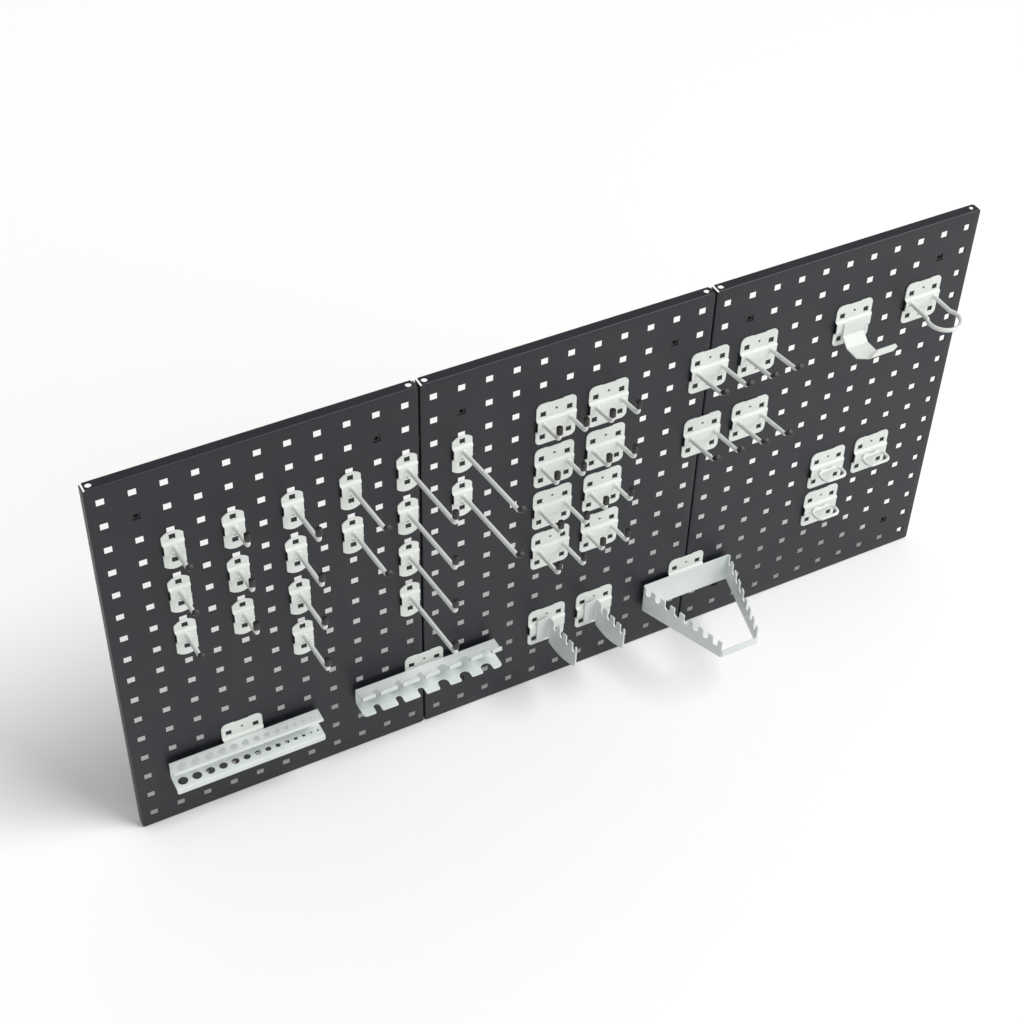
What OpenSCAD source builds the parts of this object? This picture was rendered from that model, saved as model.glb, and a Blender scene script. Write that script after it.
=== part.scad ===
// Perforated steel tool wall: three folded panels side by side on wall spacers, with
// forty hang-in holders. +X runs along the wall, +Z is up and +Y points into the wall.
// The origin is in the wall plane, at the middle of the middle panel's four fixing holes.

/* [Panels] */
// Distance between neighbouring square holes, both ways
pitch = 38; // [36:1:46]
// Side of a square hole
hole = 10; // [9.5:0.5:12]
// Columns of holes in one panel
columns = 11; // [11:1:14]
// Rows of holes in a panel
rows = 16; // [16:1:20]
// Height of the plain strip from the outer hole centres to the top and bottom edges
end_margin = 24; // [20:1:30]
// Gap between two neighbouring panels
panel_gap = 2; // [1:0.5:4]
// Thickness of the panel sheet
sheet_t = 1.5; // [1:0.25:2]
// Depth of the folded edges behind the front face
flange_d = 15; // [12:1:20]
// Open slit between the folded edges at each corner
corner_slit = 2; // [1:0.5:4]
// Diameter of the holes in the top and bottom edges
edge_hole_d = 8; // [5:0.5:9]
// Distance of those holes from the ends of the edge
edge_hole_inset = 9.5; // [8:0.5:20]
// Diameter of the joining holes in the side edges
side_hole_d = 5; // [4:0.5:7]
// Distance of the joining holes from the top and bottom of a panel
side_hole_inset = 89; // [40:1:120]

/* [Wall spacers] */
// Width and height of a spacer block
spacer_w = 18; // [14:1:24]
// Diameter of the screw bore in a spacer
screw_bore_d = 5.5; // [4:0.5:8]
// Fixing holes are this many columns and rows in from the corners of the hole field
fixing_inset = 1; // [1:1:3]

/* [Back plates of the holders] */
// Thickness of the holder sheet
steel_t = 1.5; // [1.25:0.25:2]
// Clearance between a holder and the panel
seat_gap = 0.3; // [0.2:0.05:0.5]
// How far the band across a plate stands forward
band_rise = 3.5; // [2:0.5:5]
// Height of the flat front of the band
band_h = 15; // [12:1:18]
// Top of the band, below the centre of the upper hole
band_drop = 19; // [17:0.5:22]
// Height of each slope into the band
band_slope = 3; // [2:0.5:3]
// Width of the tongues and of the windows they are bent out of
tongue_w = 8; // [6:0.5:9]
// Height of a window
window_h = 8.5; // [8:0.5:10]
// Travel that lifts a holder out of the square holes
lift = 7.5; // [6:0.5:7.5]
// Width of a narrow plate, for one column
narrow_w = 28; // [22:1:32]
// Radius of the arched ends of a narrow plate
arch_r = 18; // [17:0.5:24]
// Plate beyond the holes on each side of a wide plate, for two columns
wide_margin = 9.75; // [8:0.25:12]
// Corner radius of a wide plate
wide_corner_r = 8; // [4:0.5:10]
// Top of a wide plate above the centre of the upper holes
wide_rise = 8.3; // [7:0.1:9]
// Diameter of the small hole in a plate
pin_hole_d = 4; // [3:0.5:5]

/* [Hooks] */
// Wire diameter of the hooks
wire_d = 6; // [5:0.5:7]
// Upward slope of the hooks, in degrees
wire_tilt = 10; // [0:1:15]
// Bend radius at the centre line of the wire
bend_r = 7; // [6:0.5:10]
// Length of the straight tip after the bend
tip = 13; // [11:0.5:20]
// Turn of an angled tip, in degrees
angled_turn = 38; // [20:1:50]
// Height of a hook's root below the centre of the upper hole
root_drop = 24; // [22:0.5:27]
// Straight run of the stub hooks
stub_run = 46; // [25:1:60]
// Straight run of the short hooks
short_run = 39; // [25:1:60]
// Straight run of the medium hooks
medium_run = 74; // [50:1:90]
// Straight run of the angled hooks
angled_run = 97; // [60:1:120]
// Straight run of the long hooks
long_run = 128; // [90:1:150]
// Straight run of the extra long hooks
extra_run = 147; // [90:1:180]
// Straight run of the short twin hooks
twin_short_run = 34; // [25:1:60]
// Straight run of the medium twin hooks
twin_medium_run = 50; // [35:1:70]
// Straight run of the angled twin hooks
twin_angled_run = 54; // [30:1:80]
// Outer diameter of a plastic cap
cap_d = 8.5; // [8:0.25:10]
// Length of a plastic cap
cap_l = 11; // [9:0.5:14]
// Length of wire inside a cap
cap_grip = 9; // [6:0.5:10]
// Clearance between a cap and its wire
cap_clear = 0.05; // [0.02:0.01:0.1]

/* [Ring and loop holders] */
// Radius of the ring at the centre line of its wire
ring_r = 23; // [20:1:30]
// Distance of the ring's centre from its plate
ring_reach = 48; // [44:1:60]
// Wire diameter of a loop
loop_wire_d = 4.5; // [4:0.5:6]
// Width of a loop between wire centre lines
loop_w = 37; // [26:1:44]
// Distance of a loop's front from its plate
loop_reach = 22.5; // [20:0.5:40]
// Corner radius of a loop
loop_corner_r = 8; // [5:0.5:8.5]

/* [Drill holder] */
// Length of the drill tray
drill_w = 210; // [200:1:260]
// Number of drills
drill_count = 14; // [6:1:14]
// Largest drill hole
drill_big_d = 14; // [10:0.5:14]
// Smallest drill hole
drill_small_d = 3.5; // [2:0.5:5]
// Web between neighbouring drill holes
drill_web = 6; // [4:0.5:6]
// Distance of the first hole's centre from the end of the tray
drill_end = 12.5; // [10:0.5:15]
// Depth of the upper drill shelf
drill_upper_d = 22; // [20:1:30]
// Depth of the lower drill shelf
drill_lower_d = 25; // [20:1:30]
// Height from the lower shelf to the upper shelf
drill_gap_h = 28; // [20:1:36]
// Height of the lower front lip
drill_lip_h = 9; // [4:1:14]

/* [Screwdriver holder] */
// Length of the screwdriver tray
driver_w = 210; // [200:1:250]
// Number of screwdrivers
driver_count = 6; // [3:1:6]
// Distance between screwdriver slots
driver_pitch = 33; // [28:0.5:34]
// Width of the narrow slots, on the left
driver_slot_w = 7.5; // [6:0.5:9]
// Width of the wide slots, on the right
driver_wide_w = 14; // [10:0.5:16]
// Number of narrow slots
driver_narrow_count = 3; // [1:1:5]
// Distance of the first slot from the end of the tray
driver_end = 23; // [15:0.5:26]
// Height of this tray's top above the top of the drill tray
driver_rise = 9.5; // [0:0.5:11]
// Depth of the upper screwdriver shelf
driver_upper_d = 25.5; // [22:0.5:30]
// Depth of the lower screwdriver shelf
driver_lower_d = 29; // [26:1:36]
// Length of a slot in from the shelf's front
driver_slot_l = 15; // [12:1:17]
// Height from the lower shelf to the upper shelf
driver_gap_h = 26; // [20:1:36]
// Height of the upper front lip
driver_lip_h = 7.5; // [3:0.5:10]

/* [Spanner rack] */
// Width of the rack at its plate
rack_w = 146; // [130:1:180]
// Width of the rack at its front
rack_front_w = 61; // [50:1:100]
// Reach of the rack
rack_reach = 146; // [120:1:180]
// Height of the rack's top above the top of the drill tray
rack_rise = 3; // [0:0.5:8]
// Height of the arms at the plate
rack_h = 49; // [40:1:54]
// Height of the arms at the front
rack_front_h = 29; // [20:1:34]
// Height of the cross bar
rack_bar_h = 12; // [8:1:16]
// Notches in each arm
rack_notches = 8; // [4:1:8]
// Width of a notch
notch_w = 9.5; // [6:0.5:10]
// Depth of a notch
notch_h = 14; // [8:0.5:16]

/* [Notched brackets] */
// Reach of a bracket arm
bracket_reach = 77; // [60:1:100]
// Height of the arm at its plate
bracket_h = 49; // [40:1:54]
// Height of the arm's top above the top of the drill tray
bracket_lift = 10; // [0:0.5:11]
// Height of the arm at its tip
bracket_tip_h = 38; // [30:1:42]
// Rise of the arm's top from plate to tip
bracket_rise = 12.5; // [0:0.5:16]
// Bulge of the arm's lower edge
bracket_bulge = 7; // [4:1:10]
// Width of the foot on the band
bracket_foot_w = 21; // [16:1:26]
// Height of that foot
bracket_foot_h = 38; // [20:1:40]
// Notches in a bracket
bracket_notches = 4; // [2:1:4]
// Width of a bracket notch
bracket_notch_w = 7; // [5:0.5:9]
// Depth of a bracket notch
bracket_notch_h = 14; // [8:1:16]

/* [Strap cradle] */
// Width of the strap
strap_w = 34; // [30:1:40]
// Drop of the strap before its first bend
strap_drop = 21; // [14:1:26]
// Reach of the strap's slope
strap_slope_d = 14; // [10:1:22]
// Fall of the strap's slope
strap_slope_h = 13; // [10:1:20]
// Reach of the strap's level floor
strap_floor_d = 32; // [20:1:40]
// Width of the corner cut off the floor's left end
strap_corner_w = 15; // [6:1:20]
// Depth of that corner
strap_corner_d = 8; // [4:1:14]
// Height of the bar that stands on the strap's end
strap_bar_h = 12; // [8:1:15]
// Length of that bar
strap_bar_l = 45; // [36:1:60]

/* [Hidden] */
$fn = 48;
graphite = "#34363d";
coat = "#e2e7e2";
tray_coat = "#d2d9d7";
cap_black = "#241f1d";

panel_module = columns * pitch;
panel_w = panel_module - panel_gap;
panel_h = (rows - 1) * pitch + 2 * end_margin;
front_y = -flange_d;
fixing_x = (columns - 1 - 2 * fixing_inset) * pitch / 2;
fixing_z = (rows - 1 - 2 * fixing_inset) * pitch / 2;
spacer_l = flange_d - sheet_t;

tongue_z = -hole / 2 + seat_gap;
tongue_back = sheet_t + seat_gap + steel_t;
tongue_bottom = -hole / 2 + 0.2 - lift;
band_bottom = band_drop + band_h;
band_y = -seat_gap - band_rise - steel_t;
narrow_top = -0.5;
narrow_bottom = -pitch - 23.5;
wide_bottom = -pitch - 21;
wide_w = pitch + 2 * wide_margin;
side_notch = 1.2;
weld_gap = 0.05;
band_front = band_y - weld_gap;
tip_d = wire_d - 0.2;
tip_root = 0.5;
knuckle_d = wire_d + 0.4;
tray_top = -20;
tray_t = 1.5;
driver_play = 1.5;
drill_edge_h = 3.5;
rack_t = 2;
bracket_x = 2;
upright_turn = 90 - wire_tilt;
strap_reach = strap_slope_d + strap_floor_d;
strap_floor_z = tray_top - strap_drop - strap_slope_h;
cut = 1;

// ---- places ----

// Centre of a hole, counted in columns across the whole wall and rows from the top
function hole_x(column) = (column - 1.5 * columns - 0.5) * pitch;
function hole_z(row) = ((rows + 1) / 2 - row) * pitch;

// Puts a holder's frame on the front of the sheet, at the hole that its upper tongue uses
module at_hole(column, row) {
    translate([hole_x(column), front_y, hole_z(row)])
        children();
}

// Draws its children once at each side of a wide plate
module both_sides() {
    for (side = [-1, 1])
        translate([side * pitch / 2, 0, 0])
            children();
}

// Turns a drawing in the X-Z plane into a sheet from depth y to depth y + t
module sheet_xz(y, t) {
    translate([0, y + t, 0])
        rotate([90, 0, 0])
            linear_extrude(height = t)
                children();
}

// Turns a drawing of a section, depth across and height up, into a length along X
module section_x(x, w) {
    translate([x, 0, 0])
        rotate([90, 0, 90])
            linear_extrude(height = w)
                children();
}

// ---- panels ----

// One folded panel: a perforated face with four edges turned back to the wall
module panel(index) {
    color(graphite)
        translate([(index - 2) * panel_module, 0, 0])
            difference() {
                folded_sheet();
                edge_holes();
            }
}

module folded_sheet() {
    sheet_xz(front_y, sheet_t)
        perforated_face();
    for (side = [-1, 1]) {
        translate([side * (panel_w - sheet_t) / 2, 0, 0])
            edge(sheet_t, panel_h);
        translate([0, 0, side * (panel_h - sheet_t) / 2])
            edge(panel_w - 2 * sheet_t - 2 * corner_slit, sheet_t);
    }
}

module edge(w, h) {
    translate([-w / 2, front_y + sheet_t / 2, -h / 2])
        cube([w, flange_d - sheet_t / 2, h]);
}

module perforated_face() {
    difference() {
        square([panel_w, panel_h], center = true);
        for (column = [1 : columns], row = [1 : rows])
            translate([(column - (columns + 1) / 2) * pitch, hole_z(row)])
                square(hole, center = true);
    }
}

module edge_holes() {
    middle_y = -(flange_d - sheet_t) / 2;
    for (side = [-1, 1]) {
        translate([side * (panel_w / 2 - edge_hole_inset), middle_y, 0])
            cylinder(h = panel_h + 2 * cut, d = edge_hole_d, center = true);
        translate([0, middle_y, side * (panel_h / 2 - side_hole_inset)])
            rotate([0, 90, 0])
                cylinder(h = panel_w + 2 * cut, d = side_hole_d, center = true);
    }
}

// Plastic blocks that hold the sheet off the wall at the fixing holes
module wall_spacers() {
    color(cap_black)
        for (index = [1 : 3], side = [-1, 1], end = [-1, 1])
            translate([(index - 2) * panel_module + side * fixing_x, 0, end * fixing_z])
                spacer();
}

module spacer() {
    difference() {
        translate([-spacer_w / 2, -spacer_l, -spacer_w / 2])
            cube([spacer_w, spacer_l, spacer_w]);
        translate([0, cut, 0])
            rotate([90, 0, 0])
                cylinder(h = spacer_l + 2 * cut, d = screw_bore_d);
    }
}

// ---- back plates ----

// Section of a plate with its band pressed forward
module plate_section(top, bottom) {
    back = [
        [-seat_gap, top],
        [-seat_gap, -band_drop + band_slope],
        [-seat_gap - band_rise, -band_drop],
        [-seat_gap - band_rise, -band_bottom],
        [-seat_gap, -band_bottom - band_slope],
        [-seat_gap, bottom]
    ];
    front = [for (i = [len(back) - 1 : -1 : 0]) back[i] - [steel_t, 0]];
    polygon(concat(back, front));
}

// Tongue that passes through a square hole and hooks down behind the sheet
module tongue() {
    translate([-tongue_w / 2, -seat_gap - steel_t, tongue_z])
        cube([tongue_w, seat_gap + steel_t + tongue_back, steel_t]);
    translate([-tongue_w / 2, tongue_back - steel_t, tongue_bottom])
        cube([tongue_w, steel_t, tongue_z - tongue_bottom + steel_t / 2]);
}

module window() {
    translate([-tongue_w / 2, tongue_z - window_h])
        square([tongue_w, window_h]);
}

// The notches beside the band, for a plate of width w
module band_notches(w) {
    for (side = [-1, 1])
        translate([side * w / 2 - side_notch, -band_bottom])
            square([2 * side_notch, band_h]);
}

module narrow_outline() {
    difference() {
        intersection() {
            union() {
                translate([0, narrow_top - arch_r])
                    circle(arch_r, $fn = 96);
                translate([0, narrow_bottom + arch_r])
                    circle(arch_r, $fn = 96);
                translate([-arch_r, narrow_bottom + arch_r])
                    square([2 * arch_r, narrow_top - narrow_bottom - 2 * arch_r]);
            }
            translate([-narrow_w / 2, narrow_bottom])
                square([narrow_w, narrow_top - narrow_bottom]);
        }
        window();
        translate([0, -pitch])
            window();
        translate([0, -pitch - 1.2])
            circle(d = pin_hole_d);
        band_notches(narrow_w);
    }
}

module wide_outline() {
    height = wide_rise - wide_bottom;
    difference() {
        union() {
            translate([-wide_w / 2, wide_bottom + wide_corner_r])
                square([wide_w, height - 2 * wide_corner_r]);
            translate([-wide_w / 2 + wide_corner_r, wide_bottom])
                square([wide_w - 2 * wide_corner_r, height]);
            for (side = [-1, 1], z = [wide_bottom + wide_corner_r, wide_rise - wide_corner_r])
                translate([side * (wide_w / 2 - wide_corner_r), z])
                    circle(wide_corner_r);
        }
        for (side = [-1, 1], z = [0, -pitch])
            translate([side * pitch / 2, z])
                window();
        translate([0, tongue_z])
            circle(d = pin_hole_d);
        translate([0, -pitch + tongue_z - window_h])
            circle(d = pin_hole_d - 1);
        translate([-pitch / 4, wide_rise - 1])
            square([pitch / 2, 2]);
        band_notches(wide_w);
    }
}

module plate_blank(w, top, bottom) {
    intersection() {
        section_x(-w / 2, w)
            plate_section(top, bottom);
        sheet_xz(band_y - cut, -band_y + 2 * cut)
            children();
    }
}

module narrow_plate() {
    plate_blank(narrow_w, narrow_top, narrow_bottom)
        narrow_outline();
    tongue();
    translate([0, 0, -pitch])
        tongue();
}

module wide_plate() {
    plate_blank(wide_w, wide_rise, wide_bottom)
        wide_outline();
    both_sides() {
        tongue();
        translate([0, 0, -pitch])
            tongue();
    }
}

// ---- wire hooks ----

// Puts its children at a hook's root on the band, with the wire running along -Y
module at_root() {
    translate([0, band_front, -root_drop])
        rotate([-wire_tilt, 0, 0])
            children();
}

// Puts its children at the end of the bend of a wire, still running along -Y
module after_bend(run, turn) {
    translate([0, -run, bend_r])
        rotate([-turn, 0, 0])
            translate([0, 0, -bend_r])
                children();
}

// Sloping wire with one bend and a tip turned down for its cap. Its foot is cut flat where
// it is welded to the band.
module wire_hook(run, turn) {
    difference() {
        at_root() {
            translate([0, wire_d / 2, 0])
                rotate([90, 0, 0])
                    cylinder(h = run + wire_d / 2, d = wire_d);
            translate([0, -run, bend_r])
                rotate([0, 90, 180])
                    rotate_extrude(angle = turn)
                        translate([bend_r, 0])
                            circle(d = wire_d);
            after_bend(run, turn)
                translate([0, tip_root, 0])
                    rotate([90, 0, 0])
                        cylinder(h = tip + tip_root, d = tip_d);
        }
        translate([-wire_d, band_front, -root_drop - 2 * wire_d])
            cube([2 * wire_d, 2 * wire_d, 4 * wire_d]);
    }
}

// Closed plastic sleeve over the end of a hook
module wire_cap(run, turn) {
    bevel = 1;
    color(cap_black)
        at_root()
            after_bend(run, turn)
                translate([0, -tip + cap_grip, 0])
                    rotate([90, 0, 0])
                        difference() {
                            union() {
                                cylinder(h = cap_l - bevel, d = cap_d);
                                translate([0, 0, cap_l - bevel])
                                    cylinder(h = bevel, d1 = cap_d, d2 = cap_d - 2 * bevel);
                            }
                            translate([0, 0, -cut])
                                cylinder(h = cap_grip + cut + cap_clear, d = tip_d + 2 * cap_clear);
                        }
}

module single_steel(run, turn) {
    color(coat) {
        narrow_plate();
        wire_hook(run, turn);
    }
}

module single_hook(run, turn) {
    single_steel(run, turn);
    wire_cap(run, turn);
}

module twin_steel(run, turn) {
    color(coat) {
        wide_plate();
        both_sides()
            wire_hook(run, turn);
    }
}

module twin_caps(run, turn) {
    both_sides()
        wire_cap(run, turn);
}

module twin_hook(run, turn) {
    twin_steel(run, turn);
    twin_caps(run, turn);
}

// ---- ring and loops ----

module plate() {
    color(coat)
        wide_plate();
}

// A level ring on two short legs
module ring() {
    half_opening = asin(pitch / 2 / ring_r);
    leg = ring_reach - sqrt(ring_r * ring_r - pitch * pitch / 4);
    color(coat)
        translate([0, band_front, -root_drop]) {
            both_sides()
                rotate([90, 0, 0])
                    cylinder(h = leg, d = wire_d);
            both_sides()
                translate([0, -leg, 0])
                    sphere(d = knuckle_d);
            translate([0, -ring_reach, 0])
                rotate([0, 0, 90 + half_opening])
                    rotate_extrude(angle = 360 - 2 * half_opening, $fn = 96)
                        translate([ring_r, 0])
                            circle(d = wire_d, $fn = 48);
        }
}

// A small level loop with rounded corners, closed along the band
module loop() {
    depth = loop_reach - loop_wire_d / 2;
    color(coat)
        translate([0, band_front - loop_reach, -root_drop - 2])
            for (side = [0, 1])
                mirror([side, 0, 0]) {
                    loop_bar();
                    translate([0, depth, 0])
                        loop_bar();
                    loop_corner(-90, loop_corner_r);
                    loop_corner(0, depth - loop_corner_r);
                    translate([loop_w / 2, loop_corner_r, 0])
                        rotate([-90, 0, 0])
                            cylinder(h = depth - 2 * loop_corner_r, d = loop_wire_d);
                }
}

// Half a straight bar of a loop, along X
module loop_bar() {
    rotate([0, 90, 0])
        cylinder(h = loop_w / 2 - loop_corner_r, d = loop_wire_d);
}

// Quarter bend of a loop about a centre at depth y
module loop_corner(start, y) {
    translate([loop_w / 2 - loop_corner_r, y, 0])
        rotate([0, 0, start])
            rotate_extrude(angle = 90)
                translate([loop_corner_r, 0])
                    circle(d = loop_wire_d);
}

module loop_holder() {
    plate();
    loop();
}

// ---- trays ----

// Section of a two-shelf tray: back wall, upper shelf and lower shelf
module shelf_section(upper_d, lower_d, gap_h) {
    height = gap_h + 2 * tray_t;
    translate([band_front - tray_t, tray_top - height])
        square([tray_t, height]);
    translate([band_front - upper_d, tray_top - tray_t])
        square([upper_d, tray_t]);
    translate([band_front - lower_d, tray_top - height])
        square([lower_d, tray_t]);
}

// Lip at the front of a shelf, from height z to height z + h
module lip(shelf_d, z, h) {
    translate([band_front - shelf_d, z])
        square([tray_t, h]);
}

function drill_d(i) = drill_big_d - i * (drill_big_d - drill_small_d) / (drill_count - 1);
function drill_x(i) = i == 0 ? drill_end : drill_x(i - 1) + (drill_d(i - 1) + drill_d(i)) / 2 + drill_web;

// Two shelves with a row of graded holes through both
module drill_tray() {
    bottom = tray_top - drill_gap_h - 2 * tray_t;
    color(tray_coat)
        difference() {
            section_x(-drill_w / 2, drill_w) {
                shelf_section(drill_upper_d, drill_lower_d, drill_gap_h);
                lip(drill_upper_d, tray_top - drill_edge_h, drill_edge_h);
                lip(drill_lower_d, bottom - drill_lip_h + tray_t, drill_lip_h);
            }
            for (i = [0 : drill_count - 1])
                translate([drill_x(i) - drill_w / 2, band_front - drill_upper_d / 2 - 1, bottom - cut])
                    cylinder(h = tray_top - bottom + 2 * cut, d = drill_d(i));
        }
}

// A slot open to the front: round at its inner end
module front_slot(w, l, front) {
    circle(d = w);
    translate([-w / 2, -l - front])
        square([w, l + front]);
}

function driver_x(i) = driver_end - driver_w / 2 + i * driver_pitch;
function driver_slot(i) = i < driver_narrow_count ? driver_slot_w : driver_wide_w;

// Two shelves with narrow slots on the left and wide ones on the right
module driver_tray() {
    bottom = tray_top - driver_gap_h - 2 * tray_t;
    color(tray_coat)
        translate([0, 0, driver_rise])
            difference() {
                section_x(-driver_w / 2, driver_w) {
                    shelf_section(driver_upper_d, driver_lower_d, driver_gap_h);
                    lip(driver_upper_d, tray_top - tray_t, driver_lip_h + tray_t);
                }
                for (i = [0 : driver_count - 1]) {
                    inner_l = driver_slot_l - driver_slot(i) / 2;
                    translate([driver_x(i), band_front - driver_upper_d + inner_l, tray_top - tray_t - cut])
                        linear_extrude(height = driver_lip_h + tray_t + 2 * cut)
                            front_slot(driver_slot(i), inner_l, cut);
                    translate([driver_x(i), band_front - driver_lower_d + inner_l, bottom - cut])
                        linear_extrude(height = tray_t + 2 * cut)
                            front_slot(driver_slot(i) + driver_play, inner_l, cut);
                }
            }
}

// ---- spanner rack ----

// Half the rack's outer width at a depth in front of the band
function rack_half(depth) = (rack_w - (rack_w - rack_front_w) * depth / rack_reach) / 2;

// The rack from above: walls of the sheet's thickness round a tapering space
module rack_plan() {
    slant = atan((rack_w - rack_front_w) / 2 / rack_reach);
    wall_x = rack_t / cos(slant);
    front = rack_reach - rack_t;
    difference() {
        polygon([
            [-rack_w / 2, 0],
            [rack_w / 2, 0],
            [rack_front_w / 2, -rack_reach],
            [-rack_front_w / 2, -rack_reach]
        ]);
        polygon([
            [-rack_half(rack_t) + wall_x, -rack_t],
            [rack_half(rack_t) - wall_x, -rack_t],
            [rack_half(front) - wall_x, -front],
            [-rack_half(front) + wall_x, -front]
        ]);
    }
}

// The rack from the side: depth across and height up, with a row of notches
module rack_section() {
    step = (rack_reach - 2.5 * notch_w) / (rack_notches - 1);
    difference() {
        polygon([[0, 0], [-rack_reach, 0], [-rack_reach, -rack_front_h], [0, -rack_h]]);
        for (i = [0 : rack_notches - 1])
            translate([-notch_w - i * step, 0]) {
                translate([0, -notch_h + notch_w / 2])
                    circle(d = notch_w);
                translate([-notch_w / 2, -notch_h + notch_w / 2])
                    square([notch_w, notch_h]);
            }
    }
}

// Back sheet, two notched arms that run together and a low bar across their front
module rack_frame() {
    bar_gap_w = rack_front_w - 4 * rack_t;
    color(tray_coat)
        translate([0, band_front, tray_top + rack_rise])
            difference() {
                intersection() {
                    translate([0, 0, -rack_h])
                        linear_extrude(height = rack_h)
                            rack_plan();
                    section_x(-rack_w / 2, rack_w)
                        rack_section();
                }
                translate([-bar_gap_w / 2, -rack_reach - cut, rack_bar_h - rack_front_h])
                    cube([bar_gap_w, rack_t + 2 * cut, rack_front_h]);
            }
}

// ---- notched bracket ----

// Side view of a bracket arm: reach to the left, height up
module bracket_outline() {
    fall = bracket_rise + bracket_h - bracket_tip_h;
    chord = sqrt(bracket_reach * bracket_reach + fall * fall);
    r = (chord * chord / 4 + bracket_bulge * bracket_bulge) / (2 * bracket_bulge);
    slope = atan(fall / bracket_reach);
    step = (bracket_reach - bracket_notch_w) / bracket_notches;
    deep = bracket_h + 2 * bracket_bulge;
    difference() {
        intersection() {
            polygon([[0, 0], [-bracket_reach, bracket_rise], [-bracket_reach, -deep], [0, -deep]]);
            translate([0, -bracket_h])
                rotate(-slope)
                    translate([-chord / 2, r - bracket_bulge])
                        circle(r, $fn = 180);
        }
        for (i = [1 : bracket_notches])
            translate([-i * step, i * step * bracket_rise / bracket_reach]) {
                translate([0, -bracket_notch_h + bracket_notch_w / 2])
                    circle(d = bracket_notch_w);
                translate([-bracket_notch_w / 2, -bracket_notch_h + bracket_notch_w / 2])
                    square([bracket_notch_w, bracket_notch_h + bracket_notch_w]);
            }
    }
}

// Notched arm with a foot that lies on the band
module bracket_arm() {
    color(tray_coat) {
        translate([0, band_front, tray_top + bracket_lift])
            section_x(bracket_x, rack_t)
                bracket_outline();
        sheet_xz(band_front - rack_t, rack_t)
            translate([bracket_x + rack_t - bracket_foot_w, tray_top + bracket_lift - bracket_foot_h])
                square([bracket_foot_w, bracket_foot_h]);
    }
}

module notched_bracket() {
    plate();
    bracket_arm();
}

// ---- strap cradle ----

// Section of the strap: down the band, out along a slope and level to its end
module strap_section() {
    outer = [
        [0, tray_top],
        [0, tray_top - strap_drop],
        [-strap_slope_d, strap_floor_z],
        [-strap_reach, strap_floor_z]
    ];
    thickness = [
        [-rack_t, 0],
        [-rack_t, 0.4 * rack_t],
        [-0.4 * rack_t, rack_t],
        [0, rack_t]
    ];
    inner = [for (i = [len(outer) - 1 : -1 : 0]) outer[i] + thickness[i]];
    translate([band_front, 0])
        polygon(concat(outer, inner));
}

// The corner cut off the strap's left front, reaching a little past the sheet
module strap_corner() {
    w = strap_corner_w;
    d = strap_corner_d;
    translate([-strap_w / 2, band_front - strap_reach, strap_floor_z - cut])
        linear_extrude(height = rack_t + 2 * cut)
            polygon([[-w / 2, -d / 2], [1.5 * w, -d / 2], [-w / 2, 1.5 * d]]);
}

// Bar that stands on the strap's end and runs on to the right, with its ends cut to a slant
module strap_bar() {
    h = strap_bar_h;
    l = strap_bar_l;
    sheet_xz(band_front - strap_reach, rack_t)
        translate([strap_corner_w - strap_w / 2, strap_floor_z])
            polygon([[0, 0], [l - h / 2, 0], [l, h / 2], [l - h / 4, h], [h, h]]);
}

module strap() {
    color(coat) {
        difference() {
            section_x(-strap_w / 2, strap_w)
                strap_section();
            strap_corner();
        }
        strap_bar();
    }
}

// ---- the assembly ----

panel(1);  // panel_left
panel(2);  // panel_middle
panel(3);  // panel_right
wall_spacers();

at_hole(3, 3) single_steel(stub_run, angled_turn);  // stub_hook_1_steel
at_hole(3, 3) wire_cap(stub_run, angled_turn);  // stub_hook_1_cap
at_hole(3, 5) single_hook(stub_run, angled_turn);  // stub_hook_2
at_hole(3, 7) single_hook(stub_run, angled_turn);  // stub_hook_3

at_hole(5, 3) single_steel(short_run, upright_turn);  // short_hook_1_steel
at_hole(5, 3) wire_cap(short_run, upright_turn);  // short_hook_1_cap
at_hole(5, 5) single_hook(short_run, upright_turn);  // short_hook_2
at_hole(5, 7) single_hook(short_run, upright_turn);  // short_hook_3

at_hole(7, 3) single_steel(medium_run, upright_turn);  // medium_hook_1_steel
at_hole(7, 3) wire_cap(medium_run, upright_turn);  // medium_hook_1_cap
at_hole(7, 5) single_hook(medium_run, upright_turn);  // medium_hook_2
at_hole(7, 7) single_hook(medium_run, upright_turn);  // medium_hook_3
at_hole(7, 9) single_hook(medium_run, upright_turn);  // medium_hook_4

at_hole(9, 3) single_steel(angled_run, angled_turn);  // angled_hook_1_steel
at_hole(9, 3) wire_cap(angled_run, angled_turn);  // angled_hook_1_cap
at_hole(9, 5) single_hook(angled_run, angled_turn);  // angled_hook_2

at_hole(11, 3) single_steel(long_run, upright_turn);  // long_hook_1_steel
at_hole(11, 3) wire_cap(long_run, upright_turn);  // long_hook_1_cap
at_hole(11, 5) single_hook(long_run, upright_turn);  // long_hook_2
at_hole(11, 7) single_hook(long_run, upright_turn);  // long_hook_3
at_hole(11, 9) single_hook(long_run, upright_turn);  // long_hook_4

at_hole(13, 3) single_steel(extra_run, angled_turn);  // extra_long_hook_1_steel
at_hole(13, 3) wire_cap(extra_run, angled_turn);  // extra_long_hook_1_cap
at_hole(13, 5) single_hook(extra_run, angled_turn);  // extra_long_hook_2

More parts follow.
